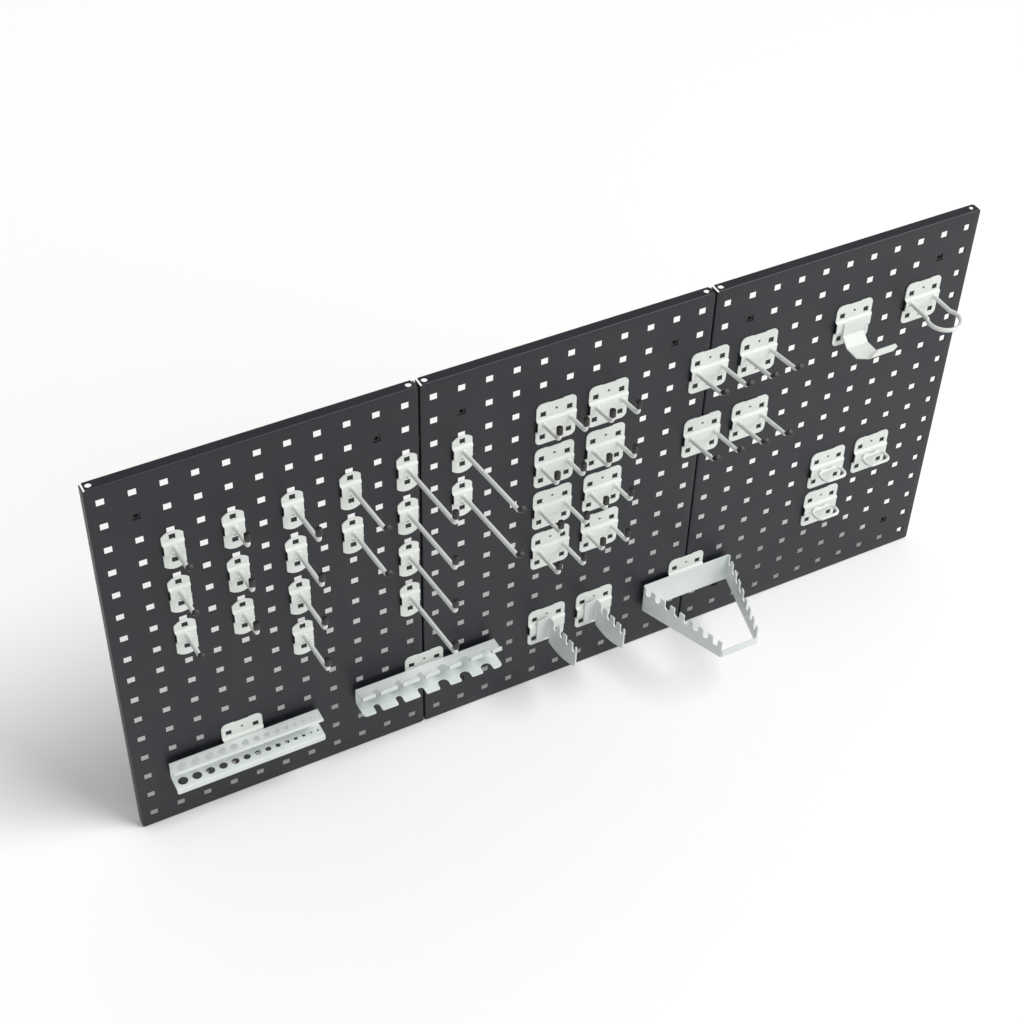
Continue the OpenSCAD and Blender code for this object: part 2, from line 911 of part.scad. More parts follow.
at_hole(16.5, 3) twin_steel(twin_short_run, upright_turn);  // twin_short_hook_1_steel
at_hole(16.5, 3) twin_caps(twin_short_run, upright_turn);  // twin_short_hook_1_caps
at_hole(16.5, 5) twin_hook(twin_short_run, upright_turn);  // twin_short_hook_2
at_hole(18.5, 3) twin_hook(twin_short_run, upright_turn);  // twin_short_hook_3
at_hole(18.5, 5) twin_hook(twin_short_run, upright_turn);  // twin_short_hook_4
at_hole(18.5, 7) twin_hook(twin_short_run, upright_turn);  // twin_short_hook_5
at_hole(18.5, 9) twin_hook(twin_short_run, upright_turn);  // twin_short_hook_6

at_hole(16.5, 7) twin_steel(twin_medium_run, upright_turn);  // twin_medium_hook_1_steel
at_hole(16.5, 7) twin_caps(twin_medium_run, upright_turn);  // twin_medium_hook_1_caps
at_hole(16.5, 9) twin_hook(twin_medium_run, upright_turn);  // twin_medium_hook_2

at_hole(22.5, 3) twin_steel(twin_angled_run, angled_turn);  // twin_angled_hook_1_steel
at_hole(22.5, 3) twin_caps(twin_angled_run, angled_turn);  // twin_angled_hook_1_caps
at_hole(24.5, 3) twin_hook(twin_angled_run, angled_turn);  // twin_angled_hook_2
at_hole(22.5, 6) twin_hook(twin_angled_run, angled_turn);  // twin_angled_hook_3
at_hole(24.5, 6) twin_hook(twin_angled_run, angled_turn);  // twin_angled_hook_4

at_hole(28.5, 3) plate();  // strap_cradle_plate
at_hole(28.5, 3) strap();  // strap_cradle_strap
at_hole(31.5, 3) plate();  // ring_holder_plate
at_hole(31.5, 3) ring();  // ring_holder_ring
at_hole(28.5, 10) plate();  // loop_holder_1_plate
at_hole(28.5, 10) loop();  // loop_holder_1_loop
at_hole(30.5, 10) loop_holder();  // loop_holder_2
at_hole(28.5, 12) loop_holder();  // loop_holder_3

at_hole(4.5, 13) plate();  // drill_holder_plate
at_hole(4.5, 13) drill_tray();  // drill_holder_tray
at_hole(11.5, 13) plate();  // screwdriver_holder_plate
at_hole(11.5, 13) driver_tray();  // screwdriver_holder_tray
at_hole(16.5, 13) plate();  // notched_bracket_1_plate
at_hole(16.5, 13) bracket_arm();  // notched_bracket_1_arm
at_hole(18.5, 13) notched_bracket();  // notched_bracket_2
at_hole(22.5, 13) plate();  // spanner_rack_plate
at_hole(22.5, 13) rack_frame();  // spanner_rack_frame
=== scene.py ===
import math

import bmesh
import bpy
from mathutils import Matrix, Quaternion, Vector


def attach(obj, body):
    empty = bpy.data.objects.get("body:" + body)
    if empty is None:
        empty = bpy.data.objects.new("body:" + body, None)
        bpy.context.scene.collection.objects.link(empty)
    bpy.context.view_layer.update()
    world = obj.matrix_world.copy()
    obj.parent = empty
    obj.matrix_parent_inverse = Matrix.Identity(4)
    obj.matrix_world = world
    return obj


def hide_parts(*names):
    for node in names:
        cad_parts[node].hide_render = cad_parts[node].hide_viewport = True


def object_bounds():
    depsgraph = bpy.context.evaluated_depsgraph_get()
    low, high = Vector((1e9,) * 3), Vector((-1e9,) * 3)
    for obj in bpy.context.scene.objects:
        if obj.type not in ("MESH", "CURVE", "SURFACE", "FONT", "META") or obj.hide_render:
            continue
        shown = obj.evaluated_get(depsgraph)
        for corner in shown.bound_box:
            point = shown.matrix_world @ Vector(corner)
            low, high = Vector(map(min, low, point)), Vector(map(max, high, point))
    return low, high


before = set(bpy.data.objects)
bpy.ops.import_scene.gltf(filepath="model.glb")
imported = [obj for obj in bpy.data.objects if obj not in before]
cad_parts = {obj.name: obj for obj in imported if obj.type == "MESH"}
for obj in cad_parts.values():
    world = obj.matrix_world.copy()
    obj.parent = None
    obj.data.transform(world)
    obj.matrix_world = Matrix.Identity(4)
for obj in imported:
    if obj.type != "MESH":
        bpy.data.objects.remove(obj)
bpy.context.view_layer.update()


# ---- panels ----
# Three panels of cold-rolled steel sheet, punched with rows of square holes, folded back on
# all four sides and powder coated dark grey. They hang edge to edge with a narrow joint.

MM = 0.001
PITCH, HOLE = 38.0, 10.0
COLUMNS, ROWS = 11, 16
PANEL_W, PANEL_H, PANEL_STEP = 416.0, 618.0, 418.0
SHEET, FLANGE, FOLD_R = 1.5, 15.0, 1.3
CORNER_SLIT = 2.0
EDGE_HOLE_D, EDGE_HOLE_INSET = 8.0, 9.5
SIDE_HOLE_D, SIDE_HOLE_INSET = 5.0, 89.0


def linear(code):
    """An sRGB hex colour as linear red, green, blue and alpha."""
    parts = [int(code[i:i + 2], 16) / 255 for i in (1, 3, 5)]
    return (*[c / 12.92 if c <= 0.04045 else ((c + 0.055) / 1.055) ** 2.4 for c in parts], 1.0)


def grain(size_mm):
    """The noise scale that gives features of a real size, on coordinates in metres."""
    return 1 / (size_mm * MM)


def add(tree, kind, inputs=None, **settings):
    """Adds one node to a tree, with its settings, and fills or links its inputs."""
    made = tree.nodes.new(kind)
    for key, value in settings.items():
        setattr(made, key, value)
    for key, value in (inputs or {}).items():
        if isinstance(value, bpy.types.NodeSocket):
            tree.links.new(value, made.inputs[key])
        else:
            made.inputs[key].default_value = value
    return made


def powder_coat(name, main, drift, peel_mm, gloss):
    """Baked polyester powder: an even colour that drifts a little where the film is thicker,
    fine orange peel, and a gloss that changes slightly with both."""
    material = bpy.data.materials.new(name)
    material.use_nodes = True
    tree = material.node_tree
    tree.nodes.clear()
    place = add(tree, "ShaderNodeTexCoord")
    film = add(tree, "ShaderNodeTexNoise",
               {"Vector": place.outputs["Object"], "Scale": grain(70), "Detail": 3, "Roughness": 0.55})
    speck = add(tree, "ShaderNodeTexNoise",
                {"Vector": place.outputs["Object"], "Scale": grain(2.2), "Detail": 2, "Roughness": 0.6})
    peel = add(tree, "ShaderNodeTexNoise",
               {"Vector": place.outputs["Object"], "Scale": grain(peel_mm), "Detail": 2, "Roughness": 0.5})
    thickness = add(tree, "ShaderNodeMath",
                    {0: film.outputs["Fac"], 1: 0.8, 2: 0.0}, operation="MULTIPLY_ADD")
    mixed = add(tree, "ShaderNodeMath",
                {0: speck.outputs["Fac"], 1: 0.2, 2: thickness.outputs[0]}, operation="MULTIPLY_ADD")
    colour = add(tree, "ShaderNodeValToRGB", {"Fac": mixed.outputs[0]})
    colour.color_ramp.elements[0].position = 0.38
    colour.color_ramp.elements[0].color = linear(main)
    colour.color_ramp.elements[1].position = 0.66
    colour.color_ramp.elements[1].color = linear(drift)
    rough = add(tree, "ShaderNodeMapRange",
                {"Value": mixed.outputs[0], "From Min": 0.3, "From Max": 0.7,
                 "To Min": gloss - 0.05, "To Max": gloss + 0.06})
    bump = add(tree, "ShaderNodeBump",
               {"Height": peel.outputs["Fac"], "Strength": 0.35, "Distance": 0.06 * MM})
    skin = add(tree, "ShaderNodeBsdfPrincipled",
               {"Base Color": colour.outputs["Color"], "Roughness": rough.outputs["Result"],
                "Normal": bump.outputs["Normal"], "IOR": 1.5})
    add(tree, "ShaderNodeOutputMaterial", {"Surface": skin.outputs["BSDF"]})
    return material


# Anthracite polyester powder, baked at 200 degrees: near black with a cool cast and a satin
# sheen that lifts it at a low angle. Real orange peel of 1 mm is drawn at 2.5 mm so it shows.
graphite_coat = powder_coat("powder_coat_graphite", "#0f1119", "#151720", 2.5, 0.46)


def new_tree(name, inputs):
    """An empty Geometry Nodes tree with named inputs. Returns it with its input node."""
    tree = bpy.data.node_groups.new(name, "GeometryNodeTree")
    tree.interface.new_socket("Geometry", in_out="INPUT", socket_type="NodeSocketGeometry")
    for label, kind in inputs.items():
        tree.interface.new_socket(label, in_out="INPUT", socket_type="NodeSocket" + kind)
    tree.interface.new_socket("Geometry", in_out="OUTPUT", socket_type="NodeSocketGeometry")
    return tree, add(tree, "NodeGroupInput").outputs


def punched_axis(tree, place, count, pitch, hole, length):
    """Nodes for one direction of the punched face. They move the evenly spaced lines of a grid
    to both sides of each hole, the outer lines to the sheet's edge, and tell which faces lie
    between the sides of a hole."""
    line = add(tree, "ShaderNodeMath", {0: place, 1: count}, operation="ADD")
    line = add(tree, "ShaderNodeMath", {0: line.outputs[0], 1: 0.5}, operation="ADD")
    half = add(tree, "ShaderNodeMath", {0: line.outputs[0], 1: 0.5, 2: -0.25}, operation="MULTIPLY_ADD")
    which = add(tree, "ShaderNodeMath", {0: half.outputs[0]}, operation="FLOOR")
    before = add(tree, "ShaderNodeMath",
                 {0: which.outputs[0], 1: -2.0, 2: line.outputs[0]}, operation="MULTIPLY_ADD")
    side = add(tree, "ShaderNodeMath", {0: before.outputs[0], 1: 1.5}, operation="SUBTRACT")
    middle = add(tree, "ShaderNodeMath", {0: count, 1: -0.5, 2: 0.5}, operation="MULTIPLY_ADD")
    column = add(tree, "ShaderNodeMath", {0: which.outputs[0], 1: middle.outputs[0]}, operation="ADD")
    centre = add(tree, "ShaderNodeMath", {0: column.outputs[0], 1: pitch}, operation="MULTIPLY")
    edge = add(tree, "ShaderNodeMath",
               {0: side.outputs[0], 1: hole, 2: centre.outputs[0]}, operation="MULTIPLY_ADD")
    far = add(tree, "ShaderNodeMath", {0: length, 1: 0.5}, operation="MULTIPLY")
    near = add(tree, "ShaderNodeMath", {0: length, 1: -0.5}, operation="MULTIPLY")
    moved = add(tree, "ShaderNodeClamp",
                {"Value": edge.outputs[0], "Min": near.outputs[0], "Max": far.outputs[0]})
    turn = add(tree, "ShaderNodeMath", {0: line.outputs[0], 1: 2.0}, operation="MODULO")
    open_ = add(tree, "ShaderNodeMath", {0: turn.outputs[0], 1: 1.0}, operation="GREATER_THAN")
    return moved.outputs[0], open_.outputs[0]


face_tree, given = new_tree("punched_face", {
    "Columns": "Int", "Rows": "Int", "Pitch": "Float", "Hole": "Float",
    "Width": "Float", "Height": "Float", "Material": "Material"})
place = add(face_tree, "GeometryNodeInputPosition")
split = add(face_tree, "ShaderNodeSeparateXYZ", {0: place.outputs[0]})
across = punched_axis(face_tree, split.outputs["X"], given["Columns"], given["Pitch"],
                      given["Hole"], given["Width"])
upward = punched_axis(face_tree, split.outputs["Y"], given["Rows"], given["Pitch"],
                      given["Hole"], given["Height"])
steps_x = add(face_tree, "ShaderNodeMath", {0: given["Columns"], 1: 2.0, 2: 1.0}, operation="MULTIPLY_ADD")
steps_y = add(face_tree, "ShaderNodeMath", {0: given["Rows"], 1: 2.0, 2: 1.0}, operation="MULTIPLY_ADD")
lines_x = add(face_tree, "ShaderNodeMath", {0: steps_x.outputs[0], 1: 1.0}, operation="ADD")
lines_y = add(face_tree, "ShaderNodeMath", {0: steps_y.outputs[0], 1: 1.0}, operation="ADD")
grid = add(face_tree, "GeometryNodeMeshGrid", {
    "Size X": steps_x.outputs[0], "Size Y": steps_y.outputs[0],
    "Vertices X": lines_x.outputs[0], "Vertices Y": lines_y.outputs[0]})
both = add(face_tree, "ShaderNodeMath", {0: across[1], 1: upward[1]}, operation="MULTIPLY")
punched = add(face_tree, "GeometryNodeDeleteGeometry",
              {"Geometry": grid.outputs["Mesh"], "Selection": both.outputs[0]}, domain="FACE")
spot = add(face_tree, "ShaderNodeCombineXYZ", {"X": across[0], "Y": upward[0]})
spread = add(face_tree, "GeometryNodeSetPosition",
             {"Geometry": punched.outputs["Geometry"], "Position": spot.outputs[0]})
real = add(face_tree, "GeometryNodeRealizeInstances", {"Geometry": spread.outputs["Geometry"]})
coated = add(face_tree, "GeometryNodeSetMaterial",
             {"Geometry": real.outputs["Geometry"], "Material": given["Material"]})
add(face_tree, "NodeGroupOutput", {"Geometry": coated.outputs["Geometry"]})


def plain(carrier):
    """The mesh of an object with all its modifiers applied. The object goes."""
    bpy.context.scene.collection.objects.link(carrier)
    seen = carrier.evaluated_get(bpy.context.evaluated_depsgraph_get())
    mesh = bpy.data.meshes.new_from_object(seen)
    bpy.data.objects.remove(carrier)
    return mesh


def grow(tree, base, values):
    """Runs a Geometry Nodes tree on a mesh with these inputs and returns the plain mesh."""
    carrier = bpy.data.objects.new("carrier", base)
    run = carrier.modifiers.new("grow", "NODES")
    run.node_group = tree
    named = {item.name: item.identifier for item in tree.interface.items_tree if item.in_out == "INPUT"}
    for label, value in values.items():
        run[named[label]] = value
    return plain(carrier)


def thicken(bm, thickness, edge, material, cutter=None):
    """Gives a bent mid-surface its thickness, cuts holes, and rounds every edge as a coat does."""
    mesh = bpy.data.meshes.new("sheet")
    bmesh.ops.recalc_face_normals(bm, faces=bm.faces)
    bm.to_mesh(mesh)
    bm.free()
    mesh.materials.clear()
    mesh.materials.append(material)
    for face in mesh.polygons:
        face.use_smooth = True
    carrier = bpy.data.objects.new("carrier", mesh)
    solid = carrier.modifiers.new("thickness", "SOLIDIFY")
    solid.thickness = thickness
    solid.offset = 0
    solid.use_even_offset = True
    if cutter:
        cut = carrier.modifiers.new("holes", "BOOLEAN")
        cut.object = cutter
        cut.solver = "EXACT"
    soft = carrier.modifiers.new("coat", "BEVEL")
    soft.width = edge
    soft.segments = 2
    soft.angle_limit = math.radians(40)
    soft.harden_normals = True
    return plain(carrier)


def rods(places, reach, steps=32):
    """An object of closed cylinders, each with a middle point, an axis and a radius, to cut holes."""
    bm = bmesh.new()
    for middle, axis, radius in places:
        turn = Vector(axis).to_track_quat("Z", "Y").to_matrix().to_4x4()
        bmesh.ops.create_cone(bm, cap_ends=True, segments=steps, radius1=radius, radius2=radius,
                              depth=reach, matrix=Matrix.Translation(middle) @ turn)
    mesh = bpy.data.meshes.new("rods")
    bm.to_mesh(mesh)
    bm.free()
    cutter = bpy.data.objects.new("rods", mesh)
    bpy.context.scene.collection.objects.link(cutter)
    return cutter


def settle(mesh, name, body, at, slot, *nodes):
    """Puts a copy of a mesh, drawn in millimetres, at its place on the wall and fixes it to its
    body. It stands for these nodes."""
    own = mesh.copy()
    own.name = name
    own.transform(Matrix.Scale(MM, 4) @ Matrix.Translation(at))
    piece = bpy.data.objects.new(name, own)
    bpy.context.scene.collection.objects.link(piece)
    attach(piece, body)
    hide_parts(*nodes)
    return piece


half_w = PANEL_W / 2 - SHEET / 2 - FOLD_R
half_h = PANEL_H / 2 - SHEET / 2 - FOLD_R
face_y = -FLANGE + SHEET / 2
face = grow(face_tree, bpy.data.meshes.new("empty"), {
    "Columns": COLUMNS, "Rows": ROWS, "Pitch": PITCH, "Hole": HOLE,
    "Width": 2 * half_w, "Height": 2 * half_h, "Material": graphite_coat})
bm = bmesh.new()
bm.from_mesh(face)
for vert in bm.verts:
    vert.co = (vert.co.x, face_y, vert.co.y)
fold_steps = 5
for outward, limit in ((Vector((1, 0, 0)), half_w), (Vector((0, 0, 1)), half_h)):
    for sign in (-1, 1):
        rim = [e for e in bm.edges if e.is_boundary
               and all(abs(v.co.dot(outward) - sign * limit) < 0.01 and abs(v.co.y - face_y) < 0.01
                       for v in e.verts)]
        for step in range(1, fold_steps + 2):
            rim = [g for g in bmesh.ops.extrude_edge_only(bm, edges=rim)["geom"]
                   if isinstance(g, bmesh.types.BMEdge)]
            angle = math.radians(90) * min(step, fold_steps) / fold_steps
            deep = face_y + FOLD_R * (1 - math.cos(angle)) if step <= fold_steps else 0.0
            for vert in {v for e in rim for v in e.verts}:
                aside = vert.co - outward * vert.co.dot(outward)
                vert.co = aside + outward * sign * (limit + FOLD_R * math.sin(angle))
                vert.co.y = deep
                if outward.z:
                    stop = PANEL_W / 2 - SHEET - CORNER_SLIT
                    vert.co.x = max(-stop, min(stop, vert.co.x))
fold_middle = -(FLANGE - SHEET) / 2
ways = []
for side in (-1, 1):
    for end in (-1, 1):
        ways.append(((side * (PANEL_W / 2 - EDGE_HOLE_INSET), fold_middle, end * PANEL_H / 2),
                     (0, 0, 1), EDGE_HOLE_D / 2))
        ways.append(((side * PANEL_W / 2, fold_middle, end * (PANEL_H / 2 - SIDE_HOLE_INSET)),
                     (1, 0, 0), SIDE_HOLE_D / 2))
edge_rods = rods(ways, 8)
panel_mesh = thicken(bm, SHEET, 0.35, graphite_coat, edge_rods)
bpy.data.objects.remove(edge_rods)
for name, step in (("panel_left", -1), ("panel_middle", 0), ("panel_right", 1)):
    settle(panel_mesh, name + "_folded_sheet", "panels", (step * PANEL_STEP, 0, 0), "panel", name)


# ---- wall spacers ----
# Blocks of black polyamide behind four holes of each panel. They keep the sheet off the wall,
# and a wood screw goes through each. They are injection moulded, with soft corners.

SPACER_W, SCREW_BORE_D = 18.0, 5.5
SPACER_CORNER_R = 2.0
FIXING_X, FIXING_Z = 152.0, 247.0


def moulded_plastic(name, main, drift, gloss, spark_mm):
    """Moulded plastic: an even colour, a fine spark-eroded texture from the tool."""
    material = bpy.data.materials.new(name)
    material.use_nodes = True
    tree = material.node_tree
    tree.nodes.clear()
    place = add(tree, "ShaderNodeTexCoord")
    cloud = add(tree, "ShaderNodeTexNoise",
                {"Vector": place.outputs["Object"], "Scale": grain(9), "Detail": 2})
    spark = add(tree, "ShaderNodeTexNoise",
                {"Vector": place.outputs["Object"], "Scale": grain(spark_mm), "Detail": 1})
    colour = add(tree, "ShaderNodeValToRGB", {"Fac": cloud.outputs["Fac"]})
    colour.color_ramp.elements[0].position = 0.35
    colour.color_ramp.elements[0].color = linear(main)
    colour.color_ramp.elements[1].position = 0.7
    colour.color_ramp.elements[1].color = linear(drift)
    rough = add(tree, "ShaderNodeMapRange",
                {"Value": spark.outputs["Fac"], "To Min": gloss - 0.07, "To Max": gloss + 0.07})
    bump = add(tree, "ShaderNodeBump",
               {"Height": spark.outputs["Fac"], "Strength": 0.4, "Distance": 0.05 * MM})
    skin = add(tree, "ShaderNodeBsdfPrincipled",
               {"Base Color": colour.outputs["Color"], "Roughness": rough.outputs["Result"],
                "Normal": bump.outputs["Normal"], "IOR": 1.53})
    add(tree, "ShaderNodeOutputMaterial", {"Surface": skin.outputs["BSDF"]})
    return material


# Black glass-filled polyamide, injection moulded: dull, with a grain of about half a millimetre.
polyamide = moulded_plastic("moulded_black_polyamide", "#17181a", "#1d1e20", 0.55, 0.6)


def arc(across, up, radius, start, end, steps):
    """Points along an arc, from one angle to another, in degrees."""
    turns = [math.radians(start + (end - start) * i / steps) for i in range(steps + 1)]
    return [(across + radius * math.cos(t), up + radius * math.sin(t)) for t in turns]


def blank(outline, *cutouts):
    """A flat sheet with cutouts, as a mesh to be bent. u runs along the bend, v across it."""
    bm = bmesh.new()
    edges = []
    for loop in (outline, *cutouts):
        ring = [bm.verts.new((u, v, 0)) for u, v in loop]
        edges += [bm.edges.new((ring[i - 1], ring[i])) for i in range(len(ring))]
    bmesh.ops.triangle_fill(bm, edges=edges, use_beauty=True)
    return bm


near_r = SPACER_W / 2 - SPACER_CORNER_R
outline = []
for across, up, start in ((near_r, near_r, 0), (-near_r, near_r, 90),
                          (-near_r, -near_r, 180), (near_r, -near_r, 270)):
    outline += arc(across, up, SPACER_CORNER_R, start, start + 90, 4)
bm = blank(outline, arc(0, 0, SCREW_BORE_D / 2, 0, 345, 23))
for vert in bm.verts:
    vert.co = (vert.co.x, -(FLANGE - SHEET) / 2, vert.co.y)
spacer_mesh = thicken(bm, FLANGE - SHEET, 0.5, polyamide)


def joined(*parts):
    """One mesh made of several, each moved by its own shift in millimetres."""
    bm = bmesh.new()
    for mesh, shift in parts:
        count = len(bm.verts)
        bm.from_mesh(mesh)
        bm.verts.ensure_lookup_table()
        bmesh.ops.translate(bm, verts=bm.verts[count:], vec=shift)
    whole = bpy.data.meshes.new("joined")
    bm.to_mesh(whole)
    bm.free()
    whole.materials.append(parts[0][0].materials[0])
    return whole


spacer_places = [(step * PANEL_STEP + side * FIXING_X, 0, end * FIXING_Z)
                 for step in (-1, 0, 1) for side in (-1, 1) for end in (-1, 1)]
settle(joined(*[(spacer_mesh, place) for place in spacer_places]),
       "wall_spacer_blocks", "panels", (0, 0, 0), "plastic", "wall_spacers")


# ---- back plates ----
# Every holder has a plate of 1.5 mm steel sheet with a raised band pressed across it. Hooked
# tongues, bent back out of small windows, hang it in the square holes. The whole holder is
# powder coated off-white after welding.

SEAT_GAP = 0.3
BAND_RISE, BAND_TOP, BAND_BOTTOM, BAND_SLOPE = 3.5, -19.0, -34.0, 3.0
TONGUE_W, WINDOW_TOP, WINDOW_H = 8.0, -4.7, 8.5
TONGUE_END, TONGUE_BACK = -12.3, 3.3
NARROW_W, ARCH_R, NARROW_TOP, NARROW_BOTTOM = 28.0, 18.0, -0.5, -61.5
WIDE_W, WIDE_CORNER_R, WIDE_TOP, WIDE_BOTTOM = 57.5, 8.0, 8.3, -59.0
SIDE_NOTCH, TOP_RECESS = 1.2, 1.0
COAT_EDGE = 0.35

# Off-white polyester powder with a green-grey cast, satin. Real orange peel of 1 mm is drawn
# at 2 mm so it shows.
white_coat = powder_coat("powder_coat_off_white", "#d6dad5", "#dfe2de", 2.0, 0.42)


def rounded(corners, radius, steps=4):
    """A path through corners with rounded bends. Returns its points as (length so far, a, b),
    and for each corner the length at which the straight after it would start if it were sharp."""
    points = [(0.0, *corners[0])]
    after = [0.0]
    for i in range(1, len(corners) - 1):
        here = Vector(corners[i])
        into = (here - Vector(corners[i - 1])).normalized()
        out = (Vector(corners[i + 1]) - here).normalized()
        turn = into.angle_signed(out)
        back = radius * math.tan(abs(turn) / 2)
        for step in range(steps + 1):
            share = step / steps
            swing = -turn * share
            chord = 2 * radius * math.sin(abs(swing) / 2)
            heading = Matrix.Rotation(swing / 2, 2) @ into
            spot = here - into * back + heading * chord
            length = points[-1][0] + (spot - Vector(points[-1][1:])).length
            points.append((length, *spot))
        after.append(points[-1][0] - back)
    end = Vector(corners[-1])
    points.append((points[-1][0] + (end - Vector(points[-1][1:])).length, *end))
    after.append(points[-1][0])
    return points, after


def bend(bm, path, put):
    """Bends a blank along a path. put turns a place on the path and v into a point."""
    for length, _, _ in path[1:-1]:
        bmesh.ops.bisect_plane(bm, geom=bm.verts[:] + bm.edges[:] + bm.faces[:], dist=0.0001,
                               plane_co=(length, 0, 0), plane_no=(1, 0, 0))
    for vert in bm.verts:
        u = vert.co.x
        k = next((i for i in range(1, len(path)) if u <= path[i][0] + 0.0001), len(path) - 1)
        (u0, a0, b0), (u1, a1, b1) = path[k - 1], path[k]
        share = (u - u0) / max(u1 - u0, 0.0001)
        vert.co = put(a0 + (a1 - a0) * share, b0 + (b1 - b0) * share, vert.co.y)
    bmesh.ops.remove_doubles(bm, verts=bm.verts, dist=0.0005)
    return bm


def box_loop(u0, u1, v0, v1):
    return [(u0, v0), (u1, v0), (u1, v1), (u0, v1)]


# The tongue: a strip that goes back through the hole and turns down behind the sheet
tongue_z = WINDOW_TOP + SHEET / 2 - 0.05
tongue_y = TONGUE_BACK - SHEET / 2
tongue_path, _ = rounded([(-1.0, tongue_z), (tongue_y, tongue_z), (tongue_y, TONGUE_END)], 1.0)
tongue_l = tongue_path[-1][0]
half_t = TONGUE_W / 2
tongue_blank = blank([(0, -half_t), (tongue_l - 1.5, -half_t), (tongue_l, -half_t + 1.5),
                      (tongue_l, half_t - 1.5), (tongue_l - 1.5, half_t), (0, half_t)])
tongue_mesh = thicken(bend(tongue_blank, tongue_path, lambda a, b, v: (v, a, b)), SHEET, 0.3, white_coat)

plate_y = -SEAT_GAP - SHEET / 2
band_y = plate_y - BAND_RISE


def plate(outline, top, bottom, tongue_xs, pins):
    """Presses the band into a plate and gives it its windows, pin holes and tongues."""
    corners = [(plate_y, top), (plate_y, BAND_TOP + BAND_SLOPE), (band_y, BAND_TOP),
               (band_y, BAND_BOTTOM), (plate_y, BAND_BOTTOM - BAND_SLOPE), (plate_y, bottom)]
    path, _ = rounded(corners, 1.2, 3)
    pressed = [(-height, depth, height) for _, depth, height in path]
    cutouts = []
    tongues = []
    for x in tongue_xs:
        for row in (0, -PITCH):
            cutouts.append(box_loop(-WINDOW_TOP - row, -WINDOW_TOP - row + WINDOW_H, x - half_t, x + half_t))
            tongues.append((tongue_mesh, (x, 0, row)))
    for height, diameter in pins:
        cutouts.append(arc(-height, 0, diameter / 2, 0, 340, 17))
    bm = bend(blank([(-height, x) for x, height in outline], *cutouts), pressed, lambda a, b, v: (v, a, b))
    return joined((thicken(bm, SHEET, COAT_EDGE, white_coat), (0, 0, 0)), *tongues)


def mirrored(right_side):
    """A closed outline from its right half, which runs from the top to the bottom."""
    return right_side + [(-x, height) for x, height in reversed(right_side) if abs(x) > 0.001]


def band_side(half):
    """The side of a plate beside its band, where the pressing draws the edge in."""
    return [(half, BAND_TOP + 0.8), (half - SIDE_NOTCH, BAND_TOP - 0.8),
            (half - SIDE_NOTCH, BAND_BOTTOM + 0.8), (half, BAND_BOTTOM - 0.8)]


half = WIDE_W / 2
right = [(PITCH / 4, WIDE_TOP - TOP_RECESS), (PITCH / 4 + TOP_RECESS, WIDE_TOP)]
right += arc(half - WIDE_CORNER_R, WIDE_TOP - WIDE_CORNER_R, WIDE_CORNER_R, 90, 0, 6)
right += band_side(half)
right += arc(half - WIDE_CORNER_R, WIDE_BOTTOM + WIDE_CORNER_R, WIDE_CORNER_R, 0, -90, 6)
wide_plate = plate(mirrored(right), WIDE_TOP, WIDE_BOTTOM, (-PITCH / 2, PITCH / 2),
                   ((WINDOW_TOP, 4.0), (-PITCH + WINDOW_TOP - WINDOW_H, 3.0)))

half = NARROW_W / 2
lean = math.degrees(math.asin(half / ARCH_R))
right = arc(0, NARROW_TOP - ARCH_R, ARCH_R, 90, 90 - lean, 7)
right += band_side(half)
right += arc(0, NARROW_BOTTOM + ARCH_R, ARCH_R, -90 + lean, -90, 7)
narrow_plate = plate(mirrored(right), NARROW_TOP, NARROW_BOTTOM, (0,), ((-PITCH - 1.2, 4.0),))


# ---- wire hooks ----
# Bent from 6 mm drawn steel wire, projection welded to the band with a slight upward slope and
# coated with their plate. The cut tip is covered by a black cap.

WIRE_D, WIRE_TILT, BEND_R, TIP = 6.0, 10.0, 7.0, 13.0
ROOT_DROP, BAND_FRONT = 24.0, -5.35
UPRIGHT, ANGLED = 80.0, 38.0
CAP_L, CAP_D, CAP_GRIP = 11.0, 8.5, 9.0

wire_tree, given = new_tree("bent_wire", {
    "Diameter": "Float", "Bend Radius": "Float", "Bend Steps": "Int", "Sides": "Int", "Material": "Material"})
line = add(wire_tree, "GeometryNodeMeshToCurve", {"Mesh": given["Geometry"]})
bent = add(wire_tree, "GeometryNodeFilletCurve",
           {"Curve": line.outputs["Curve"], "Count": given["Bend Steps"], "Radius": given["Bend Radius"],
            "Limit Radius": True}, mode="POLY")
radius = add(wire_tree, "ShaderNodeMath", {0: given["Diameter"], 1: 0.5}, operation="MULTIPLY")
circle = add(wire_tree, "GeometryNodeCurvePrimitiveCircle",
             {"Resolution": given["Sides"], "Radius": radius.outputs[0]})
tube = add(wire_tree, "GeometryNodeCurveToMesh",
           {"Curve": bent.outputs["Curve"], "Profile Curve": circle.outputs["Curve"], "Fill Caps": True})
smooth = add(wire_tree, "GeometryNodeSetShadeSmooth", {"Geometry": tube.outputs["Mesh"]})
real = add(wire_tree, "GeometryNodeRealizeInstances", {"Geometry": smooth.outputs["Geometry"]})
coated = add(wire_tree, "GeometryNodeSetMaterial",
             {"Geometry": real.outputs["Geometry"], "Material": given["Material"]})
add(wire_tree, "NodeGroupOutput", {"Geometry": coated.outputs["Geometry"]})


